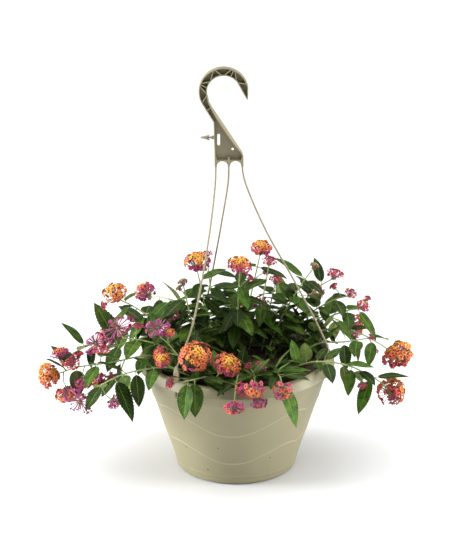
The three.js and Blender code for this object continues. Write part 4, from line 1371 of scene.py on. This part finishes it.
def add_bud(heap, foot, spot, facing, size, colour, tube=0.4):
    """A closed bud: a squarish pillow on its tube."""
    angles = even_angles(BUD_SIDES)
    square = 1 + 0.16 * np.cos(4 * angles)
    ring_way = spokes(frame_about(facing), angles)
    rings, tints = [], [colour * 1.3]
    for reach, height, tone in BUD_ROWS:
        rings.append(spot + ring_way * (size * reach * square)[:, None] + facing * size * height)
        tints.append(colour * tone)
    base = spot - facing * size
    for u in (0.1, 0.95):
        rings.append(base * (1 - u) + foot * u + ring_way * tube)
        tints.append(TUBE_PINK * 0.7)
    add_loft(heap, spot + facing * size * 0.78, rings, foot, [*tints, CALYX_GREEN])


def head_reach(head, way):
    """Distance from the middle of the head to its outside."""
    rise = np.dot(way, head.axis)
    return 1 / math.sqrt(rise * rise / head.half ** 2 + (1 - rise * rise) / head.radius ** 2)


def pick(colours, place):
    """A colour part of the way along a list of them."""
    place = float(np.clip(place, 0, 1)) * (len(colours) - 1)
    low = min(int(place), len(colours) - 2)
    return colours[low] * (low + 1 - place) + colours[low + 1] * (place - low)


def add_dome(heap, head, seed):
    """A domed head of florets, with the youngest in the middle."""
    colours, young, fullness, widest = DOMES[head.style]
    opening, frame = head.opening, frame_about(head.opening)
    small, loose = head.style in ("bud", "tight"), head.style == "loose"
    limb = np.clip(head.radius * (0.27 if loose else 0.22), *LIMB_SIZES)
    if small:
        limb = SMALL_LIMB
    widest = math.radians(widest)
    full = 1.6 * (head.radius - 0.4 * limb) ** 2 * (1 - math.cos(widest)) / limb ** 2
    count = int(fullness * full)
    for k in range(count):
        draw = draws(seed, k)
        share = (k + 0.5) / count
        jitter = draw(1.37) - 0.5
        if not small and draw(5.3) < FALLEN_SHARE:
            continue
        slope = math.acos(1 - share * (1 - math.cos(widest))) + 0.12 * jitter
        turn = k * GOLDEN_ANGLE + 0.35 * jitter
        way = spokes(frame, turn) * math.sin(slope) + opening * math.cos(slope)
        size = limb * (0.78 + 0.36 * draw(4.7))
        reach = head_reach(head, way) - 0.45 * size
        lump = 0.08 * math.sin(2 * turn + seed) * math.sin(slope)
        spot = head.centre + way * reach * (0.92 + lump + 0.14 * draw(2.11))
        tilt = np.dot((draw(2.9) - 0.5, draw(6.1) - 0.5), frame)
        facing = unit(way + opening * 0.2 + 0.7 * tilt)
        start = head.hub + way * 1.6
        tone = 0.82 + 0.36 * draw(3.3)
        colour = pick(colours, share - 0.12 * way[2] + 0.55 * jitter) * tone
        if share < young:
            add_bud(heap, start, spot, way, size * (0.85 if small else 0.5), colour)
        else:
            add_floret(heap, start, spot, facing, size, colour, seed + k * 0.77)


def add_star(heap, head, seed):
    """An opened-out head: long tubes in a flat star, some ending in a floret, some in a bud."""
    colours, buds, limb = STARS[head.style]
    opening, frame = head.opening, frame_about(head.opening)
    for k in range(STAR_TUBES):
        draw = draws(seed, k)
        turn = 2 * math.pi * (k + 0.5 * draw(1.9)) / STAR_TUBES
        rise = 0.9 * (draw(2.7) - 0.4)
        way = unit(spokes(frame, turn) + opening * rise)
        budding = draw(3.7) < buds
        size = STAR_BUD_SIZE if budding else limb * (0.75 + 0.3 * draw(4.1))
        reach = head_reach(head, way) * (0.82 + 0.2 * draw(5.9)) - 0.4 * size
        spot = head.centre + way * reach
        start = head.hub + way * 1.2
        colour = pick(colours, draw(6.7)) * (0.85 + 0.3 * draw(3.3))
        if budding:
            add_bud(heap, start, spot, way, size, MAROON * 1.4, 0.65)
        else:
            facing = unit(way + opening * 0.7)
            add_floret(heap, start, spot, facing, size, colour, seed + k * 0.77, 0.9)


class Head:
    """A flower head's place and look: its middle, the way it faces and the way it opens."""

    def __init__(self, centre, axis, radius, style, opening=None):
        self.centre, self.axis, self.radius, self.style = centre, axis, radius, style
        self.half = HEAD_HEIGHT * radius
        self.opening = axis if opening is None else unit(opening)
        self.foot = centre - axis * self.half * 0.9
        self.hub = self.foot
        if opening is not None:
            self.hub = centre - self.opening * 0.12 * radius


def add_head(heap, head, seed):
    if head.hub is not head.foot:
        add_stalk(heap, [head.foot - head.axis, head.hub], [0, 0.5, 1], [0.9, 0.85, 0.85], 8,
                  colour=CALYX_GREEN)
    (add_star if head.style in STARS else add_dome)(heap, head, seed)
    add_receptacle(heap, head, seed)


def add_receptacle(heap, head, seed):
    """The green knob that the florets grow from, with its narrow bracts."""
    foot, axis = head.hub, head.opening
    frame = frame_about(axis)
    size = 1.5 + 0.05 * head.radius
    ring_way = spokes(frame, even_angles(KNOB_SIDES))
    rings = [foot + ring_way * size * r + axis * size * h for r, h in KNOB_ROWS]
    add_loft(heap, foot + axis * size * 1.4, rings, foot - axis * size * 1.1,
             [CALYX_GREEN] * (len(rings) + 2))
    for k in range(BRACT_COUNT):
        outwards = spokes(frame, 2 * math.pi * k / BRACT_COUNT + 0.2 * chance(seed + k))
        start = foot + outwards * size * 0.7
        tip = start + outwards * size * 1.7 - axis * size * 0.5
        add_stalk(heap, [start, (start + tip) / 2 + axis * 0.3, tip], [0, 0.5, 1],
                  [(0.6, 0.3), (0.5, 0.25), (0.1, 0.08)], 6, colour=CALYX_GREEN * 0.9)


# ---------------------------------------------------------------- lantana: whole shoots


def add_sprig(heap, shoot, row, seed):
    """A short side stalk with a small head of its own."""
    _, place, way, length, style, radius = row
    way = unit(way)
    start = shoot.route.at(place)
    tip = start + way * length
    middle = start * 0.5 + tip * 0.5 + shoot.route.tangent(place) * 0.12 * length
    add_stalk(heap, [start, middle, tip], [0, 0.3, 0.6, 1], [1.0, 0.85, 0.75, 0.7], 6, uv=0.9,
              material=STEM_INDEX)
    flowers = Heap()
    add_head(flowers, Head(tip + way * HEAD_HEIGHT * radius * 0.85, way, radius, style), seed)
    heap.take(flowers, PETAL_INDEX)


def make_shoot(number, shoot):
    """A shoot with its leaves and sprigs. A large flower head becomes a piece of its own."""
    heap = Heap()
    seed = number * 97.0
    places = np.linspace(0, 1, max(8, int(shoot.route.length / 6)))
    widths = STEM_RADIUS * (1.1 - 0.5 * places)
    vertices, faces, uv = sweep(shoot.route, places, widths, 8, 0.5)
    heap.add(vertices * MM, faces, uv, material=STEM_INDEX)
    for k, (_, leaf) in enumerate(shoot.leaves):
        add_leaf(heap, leaf, seed + k * 11.3)
    for k, row in enumerate(SPRIGS):
        if row[0] == shoot.name:
            add_sprig(heap, shoot, row, seed + 500 + k)
    style = STYLES.get(shoot.name, shoot.kind)
    opening = OPENINGS.get(shoot.name)
    flowers = Heap()
    add_head(flowers, Head(shoot.centre, shoot.axis, shoot.radius, style, opening), seed + 0.4)
    if shoot.loose:
        stalk = [shoot.tip - shoot.axis * 1.5, shoot.centre - shoot.axis * shoot.half]
        add_stalk(heap, stalk, [0, 0.5, 1], [0.95, 0.9, 0.9], 8, uv=0.9, material=STEM_INDEX)
        piece = flowers.build("flowers_" + shoot.name, [PETAL])
        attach(piece, "root")
        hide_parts("flower_head_" + shoot.name)
    else:
        heap.take(flowers, PETAL_INDEX)
    piece = heap.build("lantana_" + shoot.name, [LEAF_TOP, LEAF_UNDER, STEM, PETAL])
    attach(piece, "root")
    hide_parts("shoot_" + shoot.name)


for shoot_number, one_shoot in enumerate(shoots):
    make_shoot(shoot_number, one_shoot)

# ---------------------------------------------------------------- floor and light

FLOOR_HALF = 8
FLOOR_COLOUR = (0.7, 0.7, 0.7, 1)
FLOOR_HEIGHT = -0.0005      # just below the pot, so that the two faces don't fight
SKY_COLOUR = (0.9, 0.95, 1, 1)
SKY_STRENGTH = 0.25
SUN_STRENGTH = 4.2
SOFT_ANGLE = math.radians(80)
LAMP_SIZE = 0.9
LAMP_TARGET = Vector((0, 0, 0.25))
LAMPS = [("left", (-1.9, -0.1, 0.5), 16), ("right", (1.9, -0.35, 0.5), 9)]


def add_floor():
    nodes = Nodes("floor")
    nodes.set(Base_Color=FLOOR_COLOUR, Roughness=0.7)
    work = bmesh.new()
    bmesh.ops.create_grid(work, x_segments=1, y_segments=1, size=FLOOR_HALF)
    floor = from_bmesh("floor", work)
    floor.location.z = FLOOR_HEIGHT
    floor.data.materials.append(nodes.material)


def add_light():
    """A pale sky, a very soft sun straight overhead and a soft lamp on each side."""
    world = bpy.data.worlds.new("studio")
    world.use_nodes = True
    sky = world.node_tree.nodes["Background"].inputs
    sky["Color"].default_value = SKY_COLOUR
    sky["Strength"].default_value = SKY_STRENGTH
    bpy.context.scene.world = world
    data = bpy.data.lights.new("overhead", "SUN")
    data.energy = SUN_STRENGTH
    data.angle = SOFT_ANGLE
    add_object("overhead", data)
    for name, place, power in LAMPS:
        data = bpy.data.lights.new(name, "AREA")
        data.shape = "SQUARE"
        data.size = LAMP_SIZE
        data.energy = power
        data.spread = SOFT_ANGLE
        lamp = add_object(name, data)
        lamp.location = place
        lamp.rotation_euler = (LAMP_TARGET - Vector(place)).to_track_quat("-Z", "Y").to_euler()


add_floor()
add_light()
